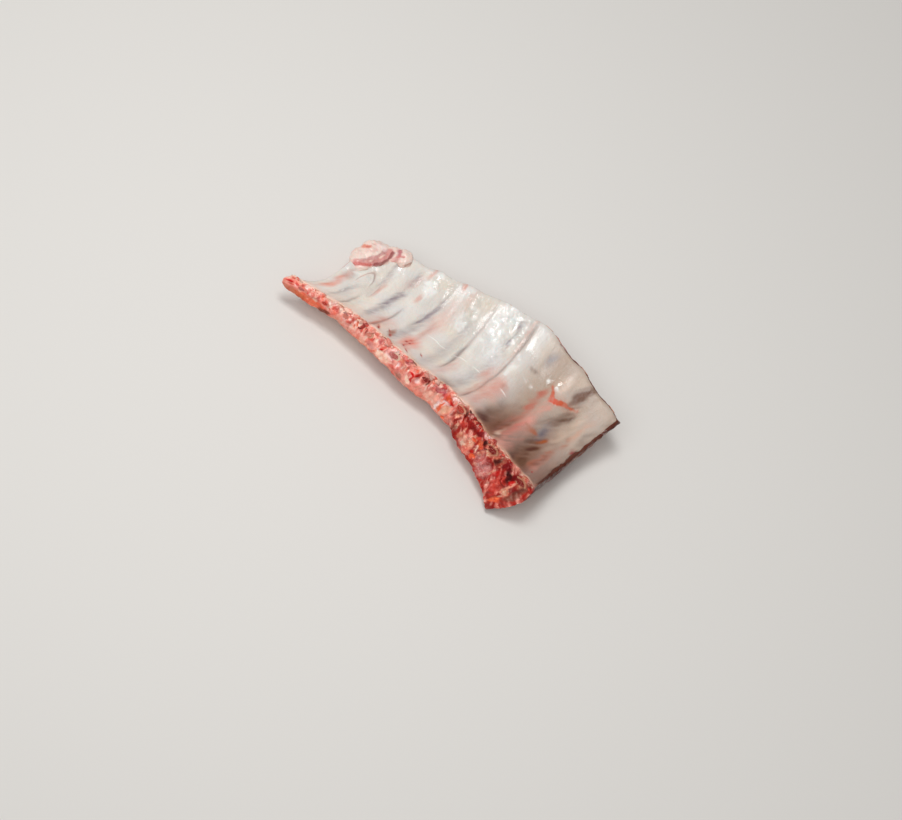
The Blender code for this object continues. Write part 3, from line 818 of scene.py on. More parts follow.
def new_material(name, blotch_scale, grain_scale, **constants):
    """A moist, slightly see-through material.

    Returns it, its tree, its shader's inputs, its Object coordinates, and a blotch and a grain pattern.
    """
    material = bpy.data.materials.new(name)
    material.use_nodes = True
    tree = material.node_tree
    shader = tree.nodes["Principled BSDF"]
    shader.inputs["Subsurface Radius"].default_value = MEAT_SCATTER
    shader.inputs["IOR"].default_value = MEAT_IOR
    for key, value in constants.items():
        shader.inputs[key.replace("_", " ")].default_value = value
    place = tree.nodes.new("ShaderNodeTexCoord").outputs["Object"]
    scales = {"Blotch_Scale": blotch_scale, "Grain_Scale": grain_scale}
    uneven = shared(tree, "Uneven", uneven_group, Vector=place, **scales)
    return material, tree, shader.inputs, place, uneven["Blotch"], uneven["Grain"]


def wet_film(tree, shader, place, **film):
    """Gives the shader a wet film's roughness, and returns the film's coat."""
    film = shared(tree, "Wet Film", wet_group, Vector=place, **film)
    connect(tree, film["Roughness"], shader["Roughness"])
    return film["Coat"]


def finish_material(tree, shader, colour, height, strength, distance):
    """Connects the colour and a bump to the shader."""
    connect(tree, colour, shader["Base Color"])
    inputs = {"Strength": strength, "Distance": distance, "Height": height}
    connect(tree, add_node(tree, "ShaderNodeBump", **inputs).outputs[0], shader["Normal"])


# ---------------------------------------------------------------------------------------------------------
# The membrane.

MEMBRANE_SKIN = 0.0009  # its thickness
MEMBRANE_STEPS = (432, 192, 1)
VESSEL_RISE = 0.0005
SCRATCH_RISE = 0.0003
VALLEY_SINK = 0.0007
NICK_SINK = 0.0007


class MembraneSettings(bpy.types.PropertyGroup):
    """Sizes and colours of the membrane."""

    groove_depth: FloatProperty(
        name="Groove depth", description="Depth of the grooves by the ribs", default=0.0008, unit="LENGTH"
    )
    wrinkle_height: FloatProperty(
        name="Wrinkle height", description="Height of the fine wrinkles", default=0.00022, unit="LENGTH"
    )
    blister_height: FloatProperty(
        name="Blister height", description="Height of the crinkles", default=0.004, unit="LENGTH"
    )
    pale: FloatVectorProperty(
        name="Pale", description="Colour of clean membrane", subtype="COLOR", default=shade(219, 213, 205)
    )
    lavender: FloatVectorProperty(
        name="Lavender", description="Colour between ribs", subtype="COLOR", default=shade(146, 132, 138)
    )
    front: FloatVectorProperty(
        name="Front", description="Colour near the sawn edge", subtype="COLOR", default=shade(230, 202, 187)
    )
    # This colour is partly the thick end's own and partly painted shade.
    thick_end: FloatVectorProperty(
        name="Thick end", description="Colour of the thick end", subtype="COLOR",
        default=shade(184, 164, 148),
    )
    orange: FloatVectorProperty(
        name="Orange", description="Colour of the vessel", subtype="COLOR", default=shade(196, 82, 44)
    )


def over_ribs(s, v):
    """The ribs' swelling on the membrane: steep on the thin end's side, and ended where a bone ends."""
    swells = []
    for place, width, _, last in RIBS:
        offset = (s - place) * EDGE_LENGTH
        swell = swelling(offset, np.where(offset < 0, 1.05, 1.55) * width)
        swells.append(swell * (1 - smooth(last - 0.08, last + 0.02, v)) if last < 1 else swell)
    return strongest(swells)


def groove_marks(flat, s, s_line, v):
    """The grooves beside the ribs and the arched fold: their height, their mask and their redness."""
    height, grooves, reds = np.zeros_like(v), [], []
    for place, start, end, strength, redness in GROOVES:
        fade = strength * smooth(start - 0.08, start + 0.06, v) * (1 - smooth(end - 0.12, end + 0.06, v))
        fade = fade * (0.8 + 0.3 * mottle(flat, 0.012, int(place * 1000)))
        distance = (s_line - place) * EDGE_LENGTH
        grooves.append(fade * (hump(distance, 0.0011) + 0.35 * hump(distance, 0.003)))
        reds.append(fade * redness * hump(distance, 0.0026))
        height += fade * 0.0004 * hump(distance - 0.0024, 0.0016)
        height -= fade * 0.0007 * hump(distance + 0.003, 0.0028)
    middle_s, middle_v, radius_s, radius_v = ARCH
    arch = np.hypot((s_line - middle_s) / radius_s, np.maximum(v - middle_v, 0) / radius_v)
    fade = smooth(0.46, 0.56, v) * (1 - smooth(0.1, 0.11, s))
    grooves.append(fade * 0.6 * hump(arch - 1.07, 0.05))
    reds.append(fade * 0.35 * hump(arch - 1.07, 0.08))
    return height + fade * 0.0007 * hump(arch - 1, 0.1), strongest(grooves), strongest(reds)


def valley_marks(flat, s_line, v):
    """The darker meat between the ribs: how far it is sunk, from 0 to 1, and its streaky mask."""
    streaks = mottle(fibre_place(flat, 0.35, 0.25), 0.0024, 4, 2)
    feathers = mottle(fibre_place(flat, 0.7, 0.3), 0.0018, 27, 2)
    valleys = []
    for place, drift, half_width, middle, half_length, strength in VALLEYS:
        offset = s_line + 0.0036 * streaks - place - drift * (v - middle)
        across = hump(offset, np.where(offset < 0, 0.7, 1.2) * half_width)
        along = 1 - smooth(0.45, 1.2, np.abs(v - middle + 0.03 * streaks) / half_length)
        valleys.append(strength * across * along)
    valley = strongest(valleys)
    return valley, valley * (1 + 0.3 * streaks + 0.6 * feathers)


def nick_mask(flat, s, v):
    """Where the membrane is nicked."""
    nicks, waver = [], 0.0004 * mottle(flat, 0.002, 12)
    for place_s, place_v, half_width, half_length, turn in NICKS:
        x, y = (s - place_s) * EDGE_LENGTH + waver, (v - place_v) * PATTERN_WIDTH
        across = x * math.cos(turn) + y * math.sin(turn)
        along = y * math.cos(turn) - x * math.sin(turn)
        nicks.append(hump(np.hypot(across / half_width, along / half_length), 1))
    return strongest(nicks)


def vessel_masks(flat, s, v):
    """The blood vessel, widest round its fork and faint at its far ends, and its redness at the fork."""
    width = 0.6 + 0.6 * smooth(0.785, 0.81, s) - 0.7 * smooth(0.83, 0.89, s)
    width += 0.25 * mottle(flat, 0.004, 28)
    branches, waver = [], 0.0006 * mottle(flat, 0.003, 5, 2)
    for branch in VESSEL:
        run = np.array(branch) * (EDGE_LENGTH, PATTERN_WIDTH)
        spread = (run_distance(flat[..., :2], run) + waver) / (VESSEL_WIDTH * width)
        branches.append(1 - smooth(0.5, 1.25, spread) + 0.25 * hump(spread, 2.5))
    vessel = np.clip(strongest(branches), 0, 1)
    vessel *= 1 - 0.8 * (1 - smooth(0.675, 0.7, v)) * (1 - smooth(0.79, 0.81, s))
    vessel *= (1 - 0.35 * (1 - smooth(0.785, 0.8, s))) * (1 - 0.5 * smooth(0.865, 0.9, s))
    vessel *= 0.85 + 0.35 * mottle(flat, 0.0035, 26, 2)
    from_fork = np.hypot((s - VESSEL_FORK[0]) * EDGE_LENGTH, (v - VESSEL_FORK[1]) * PATTERN_WIDTH)
    return vessel, vessel * hump(from_fork, 0.0045)


def scratch_mask(flat, s, v):
    """The scratches, broken here and there."""
    scratches, waver = [], 0.0012 * mottle(flat, 0.009, 6, 2)
    for start, end, place in SCRATCHES:
        fade = smooth(start - 0.01, start + 0.01, s) * (1 - smooth(end - 0.01, end + 0.01, s))
        scratches.append(fade * hump((v - place) * PATTERN_WIDTH + waver, 0.0006))
    return strongest(scratches) * smooth(-0.5, 0.3, mottle(flat, 0.006, 13))


def membrane_marks(s, v):
    """The membrane's height over its smooth surface, and the masks that its material and wrinkles read."""
    flat = flat_place(s, v)
    s_line = s + 0.0035 * mottle(flat, 0.03, 1) + 0.0012 * mottle(flat, 0.008, 2)
    masks = {"over_bone": over_ribs(s_line, v)}
    groove_height, masks["groove"], masks["groove_red"] = groove_marks(flat, s, s_line, v)
    valley, masks["valley"] = valley_marks(flat, s_line, v)
    masks["nick"], masks["scratch"] = nick_mask(flat, s, v), scratch_mask(flat, s, v)
    masks["vessel"], masks["vessel_red"] = vessel_masks(flat, s, v)
    masks["crinkle"] = strongest(oval(row, s_line, v, 0.2) for row in CRINKLES)
    masks["gloss"] = strongest([masks["crinkle"], *(oval(row, s_line, v, 0.2) for row in GLOSSY)])
    waves = 0.0009 * mottle(flat * (1, 0.45, 1), 0.014, 3, 2)
    height = (RIB_BUMP * masks["over_bone"] + waves) * across_rack(v) + groove_height
    height += VESSEL_RISE * masks["vessel"] + SCRATCH_RISE * masks["scratch"]
    height -= VALLEY_SINK * valley + NICK_SINK * masks["nick"]
    return height, {name: np.clip(mask, 0, 1) for name, mask in masks.items()}


def membrane_tone(s, v):
    """The membrane's colour before its grooves and vessels: whiter to the back, more brown at the thick end.

    Painted light brightens the thin half, the thick end is partly painted shade, and a painted sheen whitens
    wet spots.
    """
    chosen = settings_of("rib_membrane")
    pale, front, thick_end = (np.array(x) for x in (chosen.pale, chosen.front, chosen.thick_end))
    flat = flat_place(s, v)
    ending = smooth(0.64, 0.72, s)
    fibre = fibre_place(flat, 0.3 + 0.3 * smooth(0.66, 0.72, s), 0.3)
    s_line = s + 0.006 * (1 + ending) * mottle(flat, 0.016, 14, 2) + 0.004 * mottle(fibre, 0.004, 15, 2)
    v_line = v + 0.05 * smooth(0, 0.2, v) * mottle(flat, 0.02, 16, 2)

    # Painted light: the thin half is brightened towards the sawn edge and across the middle of its width.
    painted_front_light = 1 + 0.1 * (1 - smooth(0.1, 0.5, v_line))
    painted_front_light += 0.08 * smooth(0.1, 0.35, v_line) * (1 - smooth(0.55, 0.8, v_line))
    thin_half = lay(pale, front, 0.9 * near(np.maximum(v_line, 0), 0.14)) * painted_front_light[..., None]
    # The thick end is partly its own, more brown colour and partly painted shade, darkest towards the sawn
    # edge.
    thick_front_with_shade = front * np.array((0.28, 0.15, 0.105))
    thick_half = lay(thick_end, thick_front_with_shade, 1 - smooth(0.05, 0.78, v_line))
    colours = lay(thin_half, thick_half, smooth(0.61, 0.76, s_line))
    colours *= 1 + mottle(flat, 0.013, 23, 2)[..., None] * np.array((0.03, 0, -0.05))

    ragged = 1 + 0.35 * mottle(fibre, 0.003, 17, 2) + 0.85 * ending * mottle(fibre, 0.0045, 25, 2)
    for row in MEMBRANE_STAINS:
        colours = lay(colours, row[5], np.clip(oval(row, s_line, v_line, 0.1) * ragged, 0, 1))
    # Painted highlight: whitish patches are painted where the film is crinkled or glossy, standing in for
    # its sheen.
    painted_sheen_patches = 0.85 * smooth(-0.3, 0.4, mottle(flat, 0.006, 24, 2))
    for row in CRINKLES + GLOSSY:
        colours = lay(colours, "painted_sheen", painted_sheen_patches * oval(row, s_line, v, 0.4))
    cut = near(np.maximum(flat[..., 1], 0), 0.0022 + 0.0012 * mottle(flat, 0.008, 18))
    return lay(colours, "peach", 0.6 * cut)


def membrane_place(s, v, t):
    """A point of the membrane: its top carries the marks, and its edges dip and waver a little."""
    flat = flat_place(s, v)
    height, _ = membrane_marks(s, v)
    inward = rim_distance(s, v)
    waver = 0.0011 * mottle(flat, 0.012, 11, 3)
    ragged = 0.0009 * mottle(flat, 0.005, 19, 2)
    front, back = near(flat[..., 1], 0.004), near(PATTERN_WIDTH - flat[..., 1], 0.004)
    far_end = near(EDGE_LENGTH - flat[..., 0], 0.004) * (0.4 + 0.9 * hump(v - 0.42, 0.3))
    lift = height - 0.0008 * hump(inward, 0.0012) + 0.0005 - 0.0008 * back
    point = slab_point(s, v, 0, lift - t * MEMBRANE_SKIN * (1 + 0.4 * inward / 0.05))
    point[..., 0] -= (0.0024 + ragged) * far_end
    point[..., 1] += (waver + 0.0014 + 1.2 * ragged) * front
    point[..., 1] += (0.6 * waver + 0.0007 - 0.0013 * smooth(0.62, 0.7, s)) * back
    return point


def wrinkle_group():
    """Geometry Nodes: fine folds and pits over a surface, and crinkles where the film is tight."""
    group, given, result = geometry_group(
        "Membrane Wrinkles",
        ("Height", "Float", 0.0002),
        ("Blister Height", "Float", 0.001),
        ("Fold Length", "Float", 0.012),
        ("Fold Width", "Float", 0.003),
    )
    x = calculate(group, "DIVIDE", kept(group, "across"), given["Fold Width"])
    y = calculate(group, "DIVIDE", kept(group, "up"), given["Fold Length"])
    place = add_node(group, "ShaderNodeCombineXYZ", X=x, Y=y, Z=0.0).outputs[0]
    folds = noise(group, place, 1.0, 3.0, Roughness=0.55, Distortion=0.6)
    crease = calculate(group, "ABSOLUTE", minus(group, folds, 0.5))
    position = point_place(group)
    rise = plus(group, times(group, crease, 4.0), noise(group, position, 420.0))
    rise = times(group, minus(group, rise, 0.9), given["Height"])
    puckers = noise(group, position, 115.0, 0.6, Distortion=0.9)
    blisters = times(group, noise(group, position, 260.0, 1.0, Distortion=0.8), 0.12)
    blisters = plus(group, blisters, minus(group, puckers, 0.56))
    blisters = times(group, times(group, blisters, given["Blister Height"]), kept(group, "crinkle"))
    rise = times(group, plus(group, rise, blisters), kept(group, "top"))
    return end_group(group, given, result, raised(group, given["Geometry"], rise))


def membrane_material():
    """Pale skin with meat showing through it: masks on the mesh say where each colour lies."""
    chosen = settings_of("rib_membrane")
    material, tree, shader, place, blotch, grain = new_material(
        "membrane", 110.0, 700.0, Subsurface_Weight=0.2, Subsurface_Scale=0.0012, Coat_Roughness=0.13,
        Specular_IOR_Level=0.35,
    )
    surface = add_node(tree, "ShaderNodeUVMap", {"uv_map": "surface"}).outputs[0]
    drawn = {"Vector": surface, "Rotation": (0.0, 0.0, 0.3), "Scale": (1.0, 0.2, 1.0)}
    drawn = add_node(tree, "ShaderNodeMapping", **drawn).outputs[0]
    streaks = remap(tree, noise(tree, drawn, 420.0, 4.0, Roughness=0.6), 0.35, 0.65)
    colour = tinted(
        tree,
        (blotch, 0.35, (0.86, 0.84, 0.84), "MULTIPLY"),
        (streaks, 0.3, (0.88, 0.85, 0.84), "MULTIPLY"),
        ("over_bone", 0.1, (1.0, 0.98, 0.94), "SCREEN"),
        ("valley", 0.85, chosen.lavender, "MIX"),
        ("groove_red", 0.6, shade(196, 92, 76), "MIX"),
        ("groove", 0.55, shade(122, 100, 94), "MIX"),
        ("vessel", 0.95, chosen.orange, "MIX"),
        ("vessel_red", 0.85, shade(222, 88, 66), "MIX"),
        ("nick", 0.95, shade(168, 36, 26), "MIX"),
        ("scratch", 0.9, shade(248, 244, 238), "MIX"),
    )
    coat = wet_film(tree, shader, place, Scale=45.0, Dullest=0.55, Glossiest=0.42, Driest=0.05, Wettest=0.45)
    x = add_node(tree, "ShaderNodeSeparateXYZ", Vector=place).outputs["X"]
    coat = times(tree, coat, remap(tree, x, 0.03, 0.08, 1.0, 0.25))  # drier at the thick end
    connect(tree, calculate(tree, "MAXIMUM", coat, mark(tree, "gloss")), shader["Coat Weight"])
    finish_material(tree, shader, colour, plus(tree, grain, times(tree, streaks, 1.5)), 0.35, 0.00025)
    return material


class RIBS_OT_membrane(bpy.types.Operator):
    """Lay the pale membrane over the bone side"""

    bl_idname = "ribs.membrane"
    bl_label = "Membrane"

    def execute(self, context):
        chosen = settings_of("rib_membrane")
        mesh, s, v, t = brick_mesh("membrane", membrane_place, MEMBRANE_STEPS, (1, 1, 1, 1, 1, 12))
        _, marks = membrane_marks(s, v)
        across, up, _ = flat_place(s, v).T
        top = (t == 0) * 1.0
        store(mesh, across=across, up=up, top=top, **marks)
        store_tone(mesh, membrane_tone(s, v))
        sunk = chosen.groove_depth * marks["groove"] * top
        move_vertices(mesh, vertex_vectors(mesh) - sunk[:, None] * upward(s, v))
        add_uv(mesh, across, up)
        piece = add_piece(mesh)
        heights = {"Height": chosen.wrinkle_height, "Blister_Height": chosen.blister_height}
        shape_with(piece, wrinkle_group(), Material=membrane_material(), **heights)
        finish_piece(piece, "meat", "meat")
        return {"FINISHED"}


# ---------------------------------------------------------------------------------------------------------
# The flesh.

FLESH_STEPS = (640, 120, 60)
FLESH_CREASE = math.radians(75)  # edges sharper than this are shaded sharp


class FleshSettings(bpy.types.PropertyGroup):
    """Sizes and colours of the flesh."""

    lump_size: FloatProperty(
        name="Lump size", description="Size of the sawn face's lumps", default=0.0048, unit="LENGTH"
    )
    lump_height: FloatProperty(
        name="Lump height", description="Height of the sawn face's lumps", default=0.0016, unit="LENGTH"
    )
    salmon: FloatVectorProperty(
        name="Salmon", description="Colour of mixed meat", subtype="COLOR", default=shade(242, 172, 156)
    )
    muscle: FloatVectorProperty(
        name="Muscle", description="Colour of the muscle", subtype="COLOR", default=shade(170, 40, 28)
    )
    fat: FloatVectorProperty(
        name="Fat", description="Colour of the fat", subtype="COLOR", default=shade(246, 214, 196)
    )
    # The end face's colour: dry meat and painted shade together.
    dried_and_shaded: FloatVectorProperty(
        name="Dried", description="Colour of the dried end", subtype="COLOR", default=shade(70, 34, 26)
    )


def flesh_place(s, v, t):
    """A point of the flesh, a little inside the CAD slab under the membrane, flat where it rests."""
    flat = flat_place(s, v)
    x, y, _ = np.moveaxis(flat, -1, 0)
    ribs = over_ribs(s, v) * across_rack(v)
    bared = smooth(0.62, 0.7, s)
    sunk = 0.0004 + 0.0018 * np.clip(rim_distance(s, v) / 0.011, 0, 1)
    sunk += (0.0017 - 0.0009 * bared) * near(PATTERN_WIDTH - y, 0.004)
    lift = (RIB_BUMP * ribs - sunk) * (1 - t) - MEAT_RIDGE * ribs * t
    lift += 0.0012 * mottle(flat, 0.016, 21, 3) * t
    rim = near(y, 0.0022) + 0.5 * near(EDGE_LENGTH - x, 0.0022)
    lift += 0.0012 * rim * (0.5 + 1.6 * mottle(flat, 0.006, 22, 2)) * (1 - t) ** 3
    # A knob on the thin end's front corner, and two notches beside it.
    knob = hump(x, 0.008) * hump(y, 0.006)
    notch = hump(x - 0.023 * EDGE_LENGTH, 0.0014) + 0.7 * hump(x - 0.052 * EDGE_LENGTH, 0.0014)
    lift += (0.0014 * knob - 0.0013 * notch * near(y, 0.004)) * (1 - t)
    point = slab_point(s, v, t, lift)
    point[..., 0] += (0.0008 - 0.0028 * 4 * t * (1 - t) * (1 - v) ** 6) * at_edge(1 - s)
    point[..., 1] -= 0.001 * knob + (0.002 - 0.0012 * bared) * at_edge(v)
    point[..., 2] = np.maximum(point[..., 2], 0)
    return point


def sawn_face(flat, s, s_line, t_line, wobble):
    """The sawn front's colours, its height, and where it is crumbly and where it is solid muscle.

    Fat and lean are mixed at the thin end, where the top is painted brighter and the bottom darker as
    painted light and shade, and the thick end is darker muscle.
    """
    chosen = settings_of("rib_flesh")
    salmon, muscle = np.array(chosen.salmon), np.array(chosen.muscle)
    x, y, z = np.moveaxis(flat, -1, 0)
    upright = flat * (1, 1, 0.45)
    leaning = np.stack([x - 0.8 * z, y, (z + 0.5 * x) * 0.2], axis=-1)
    speckle, clumps = mottle(upright, 0.003, 33, 2), mottle(upright, 0.008, 37, 2)
    flecks, broad = mottle(upright, 0.004, 44, 2), mottle(upright, 0.016, 45, 2)
    crumbs, strands = mottle(upright, 0.0022, 46, 2), mottle(leaning, 0.002, 38, 2)
    thick = smooth(0.6, 0.68, s_line)
    crumbly = 1 - 0.55 * smooth(0.36, 0.54, t_line + 0.1 * clumps) * (1 - thick)

    mixed = salmon
    for tone, mask in (
        (salmon * np.array((0.9, 0.56, 0.52)), 0.75 * smooth(-0.2, 0.6, clumps) * crumbly),
        ("peach", 0.7 * smooth(-0.1, 0.6, broad) * (1 - crumbly)),
        ("mauve", 0.5 * smooth(-0.1, 0.6, -broad) * (1 - crumbly)),
        (np.array(chosen.fat), 0.8 * smooth(-0.05, 0.5, -speckle) * crumbly),
        ("red", 0.85 * smooth(0.25, 0.6, flecks) * crumbly),
        ("muscle", 0.65 * smooth(0.45, 0.85, crumbs) * (crumbly - 0.3)),
        ("white", 0.6 * smooth(0.45, 0.85, -crumbs) * (crumbly - 0.3)),
    ):
        mixed = lay(mixed, tone, mask)
    # Painted light and shade: where fat and lean are mixed, the top of the sawn face is painted brighter and
    # its bottom darker.
    high, low = 1 - smooth(0.25, 0.6, t_line), smooth(0.55, 0.95, t_line)
    painted_top_light, painted_bottom_shade = np.array((0.12, 0.28, 0.3)), np.array((0.12, 0.2, 0.26))
    mixed *= 1 + high[..., None] * painted_top_light - low[..., None] * painted_bottom_shade
    solid = lay(muscle, salmon, 0.8 * smooth(-0.1, 0.8, strands))
    solid = lay(solid, "maroon", 0.6 * smooth(0.15, 0.7, clumps))
    solid = lay(solid, "peach", 0.7 * smooth(0.5, 0.85, flecks))
    colours, height = lay(mixed, solid, thick), np.zeros_like(s)
    for row in SAWN_MARKS:
        mask, tone = oval(row, s_line, t_line, 0.8), row[5]
        colours = lay(colours, tone, mask)
        height += (TONE_HEIGHTS.get(tone, 0) - height) * mask
    colours *= (1 + 0.22 * speckle * crumbly)[..., None]
    skin = near(z, 0.0011 + 0.0006 * wobble) * (1 - 0.5 * smooth(0.9, 0.97, s))
    colours = lay(colours, "cream", np.clip(0.9 * skin, 0, 1) * smooth(-0.9, 0.1, clumps - speckle))
    return colours, height, crumbly, thick


def meaty_side(flat, s, back):
    """The meaty side's colours, red meat with seams of fat and pale fat over the bones, and its height."""
    chosen = settings_of("rib_flesh")
    seams = smooth(0.1, 0.45, mottle(flat * (1, 0.5, 1), 0.012, 34, 3))
    pale = np.clip(0.8 * seams + 0.55 * bone_bump(s) * (1 - back), 0, 1)
    strands = smooth(-0.8, 0.8, mottle(flat * (1, 0.35, 1), 0.003, 39, 2))
    red = lay(np.array(chosen.muscle), np.array(chosen.salmon), 0.25 + 0.45 * strands)
    return lay(red, np.array(chosen.fat), pale), 0.0005 * (pale - 0.4)


def thick_end_face(flat):
    """The thick end's colours, layers of muscle and fat that are dry and partly painted shade, and its
    height.
    """
    chosen = settings_of("rib_flesh")
    muscle, fat, dried_and_shaded = (np.array(x) for x in (chosen.muscle, chosen.fat, chosen.dried_and_shaded))
    layers = smooth(0.12, 0.32, np.abs(mottle(flat * (1, 0.35, 1.3), 0.018, 36, 2)))
    grain = mottle(flat * (1, 0.6, 0.35), 0.005, 35, 3)
    dry = lay(muscle, dried_and_shaded, 0.5 + 0.4 * smooth(-0.5, 0.6, grain))
    colours = lay(fat * np.array((0.8, 0.62, 0.52)), dry, layers)
    # Painted shade: the top of the end face, just under the membrane's rim, is darkened; the front corner is
    # darker as well.
    top, corner = near(flat[..., 2], 0.0035), near(flat[..., 1], 0.01)
    colours = lay(colours, dried_and_shaded, np.clip(1.2 * top + 0.7 * corner, 0, 1))
    return lay(colours, "umber", 0.95 * top), 0.0004 * (0.5 - layers)


def flesh_marks(s, v, t):
    """The flesh's colour, and the height of its tones and masks that its relief and material read."""
    flat = flat_place(s, v, t * thickness(s, v))
    front, back, far_end = 1 - smooth(0.02, 0.05, v), smooth(0.97, 1, v), smooth(0.985, 0.998, s)
    wobble = mottle(flat, 0.004, 31, 2)
    s_line, t_line = s + 0.0045 * wobble, t + 0.06 * mottle(flat, 0.004, 32, 2)
    colours, height = meaty_side(flat, s, back)

    # The back edge and the thin end are pale under the membrane, with a dark line at the thick half.
    under_skin = hump(flat[..., 2], 0.003) * np.maximum(back, smooth(0.97, 1, 1 - s))
    thick_half = smooth(0.6, 0.66, s_line)
    colours = lay(colours, "white", under_skin * (1 - thick_half))
    colours = lay(colours, "umber", under_skin * thick_half)
    # Under the membrane's rims at the thick end and the back the meat is dark, partly its own colour and
    # partly painted shade under the rims.
    bared = np.maximum(smooth(0.955, 0.975, s), smooth(0.89, 0.91, v) * smooth(0.62, 0.68, s_line))
    colours = lay(colours, "umber", 0.95 * bared * (t <= 0))

    end_colours, end_height = thick_end_face(flat)
    front_colours, front_height, crumbly, thick = sawn_face(flat, s, s_line, t_line, wobble)
    faces = (far_end, end_colours, end_height), (front, front_colours, front_height)
    for mask, other, other_height in faces:
        colours = lay(colours, other, mask)
        height += (other_height - height) * mask
    sawn = np.clip(front * (0.4 + 0.6 * crumbly) + 0.7 * far_end + 0.5 * back * smooth(0.02, 0.2, t), 0, 1)
    striped = np.clip(front * thick + 0.4 * far_end + 0.5 * (t >= 1), 0, 1)
    return colours, {"height": height, "sawn": sawn, "striped": striped}


def flesh_relief_group():
    """Geometry Nodes: lumps of fat and meat on the sawn faces, and a softer waviness elsewhere."""
    group, given, result = geometry_group(
        "Flesh Relief",
        ("Lump Size", "Float", 0.003),
        ("Lump Height", "Float", 0.001),
        ("Softness", "Float", 0.35),
    )
    position, sawn = point_place(group), kept(group, "sawn")
    warp = add_node(group, "ShaderNodeTexNoise", Vector=position, Scale=260.0, Detail=2.0).outputs["Color"]
    warp = vector_math(group, "SCALE", Vector=warp, Scale=0.0035)
    warped = vector_math(group, "ADD", in_0=position, in_1=warp)
    inputs = {"Scale": calculate(group, "DIVIDE", 1.0, given["Lump Size"]), "Smoothness": given["Softness"]}
    cells = add_node(group, "ShaderNodeTexVoronoi", {"feature": "SMOOTH_F1"}, Vector=warped, **inputs)

    def swing(scale, detail, strength):
        """Noise that swings round 0."""
        return times(group, minus(group, noise(group, position, scale, detail), 0.5), strength)

    lump = plus(group, minus(group, 0.55, cells.outputs["Distance"]), swing(900.0, 3.0, 0.45))
    rise = times(group, plus(group, lump, swing(120.0, 1.0, 2.0)), sawn)
    wave = times(group, swing(90.0, 4.0, 0.8), minus(group, 1.0, sawn))
    rise = plus(group, times(group, plus(group, rise, wave), given["Lump Height"]), kept(group, "height"))
    over_floor = add_node(group, "ShaderNodeSeparateXYZ", Vector=position).outputs["Z"]
    rise = times(group, rise, remap(group, over_floor, 0.0005, 0.003))  # the flat it rests on stays flat
    tagged = keep(group, given["Geometry"], "lump", lump)
    return end_group(group, given, result, raised(group, tagged, rise))


def flesh_material():
    """Raw meat: the mesh's tones, broken up by grain, strands and darker creases between lumps.

    The creases are painted shade, and the pale flecks are partly painted glints.
    """
    material, tree, shader, place, blotch, grain = new_material(
        "flesh", 380.0, 1500.0, Subsurface_Weight=0.1, Subsurface_Scale=0.0006, Coat_Roughness=0.12,
        Specular_IOR_Level=0.2,
    )
    drawn = {"Vector": place, "Rotation": (0.0, 0.6, 0.3), "Scale": (1.0, 1.0, 0.22)}
    drawn = add_node(tree, "ShaderNodeMapping", **drawn).outputs[0]
    striped = mark(tree, "striped")
    strands = times(tree, remap(tree, noise(tree, drawn, 1300.0, 3.0), 0.35, 0.65), striped)
    # Painted shade: the creases between the sawn face's lumps are darkened.
    crease = times(tree, remap(tree, mark(tree, "lump"), 0.15, -0.1), mark(tree, "sawn"))
    # Pale flecks on the striped meat: partly fat grains, partly painted wet glints.
    flecks = times(tree, remap(tree, noise(tree, place, 820.0, Distortion=0.5), 0.56, 0.68), striped)
    colour = tinted(
        tree,
        (crease, 0.7, (0.8, 0.36, 0.32), "MULTIPLY"),
        (blotch, 0.45, (0.93, 0.68, 0.66), "MULTIPLY"),
        (strands, 0.5, (0.86, 0.62, 0.6), "MULTIPLY"),
        (grain, 0.7, (1.28, 1.25, 1.24), "MULTIPLY"),
        (flecks, 0.6, (1.25, 2.6, 2.6), "MULTIPLY"),
    )
    coat = wet_film(tree, shader, place, Scale=240.0, Dullest=0.55, Glossiest=0.28, Driest=0.0, Wettest=0.7)
    standing = remap(tree, mark(tree, "height"), -0.0007, 0.0001)
    connect(tree, times(tree, coat, standing), shader["Coat Weight"])
    finish_material(tree, shader, colour, plus(tree, plus(tree, grain, strands), blotch), 0.6, 0.0004)
    return material


class RIBS_OT_flesh(bpy.types.Operator):
    """Build the flesh with its sawn front face and meaty side"""

    bl_idname = "ribs.flesh"
    bl_label = "Flesh"

    def execute(self, context):
        chosen = settings_of("rib_flesh")
        mesh, s, v, t = brick_mesh("flesh", flesh_place, FLESH_STEPS, (2, 1, 1, 2, 10, 2))
        colours, masks = flesh_marks(s, v, t)
        store(mesh, **masks)
        store_tone(mesh, colours)
        piece = add_piece(mesh)
        lumps = {"Lump_Size": chosen.lump_size, "Lump_Height": chosen.lump_height}
        shape_with(piece, flesh_relief_group(), Material=flesh_material(), **lumps)
        piece.data.set_sharp_from_angle(angle=FLESH_CREASE)
        finish_piece(piece, "meat", "meat")
        return {"FINISHED"}


# ---------------------------------------------------------------------------------------------------------
# Nubs of fat and meat that the saw left along the front edge.

NUB_SEED = 5
NUB_DEPTH = 0.12  # the t at which the sawn face lends the nubs its colours


class NubSettings(bpy.types.PropertyGroup):
    """How many nubs there are and how big."""

    count: IntProperty(name="Count", description="Number of nubs along the front edge", default=170)
    size: FloatProperty(name="Size", description="Half length of a nub", default=0.0019, unit="LENGTH")


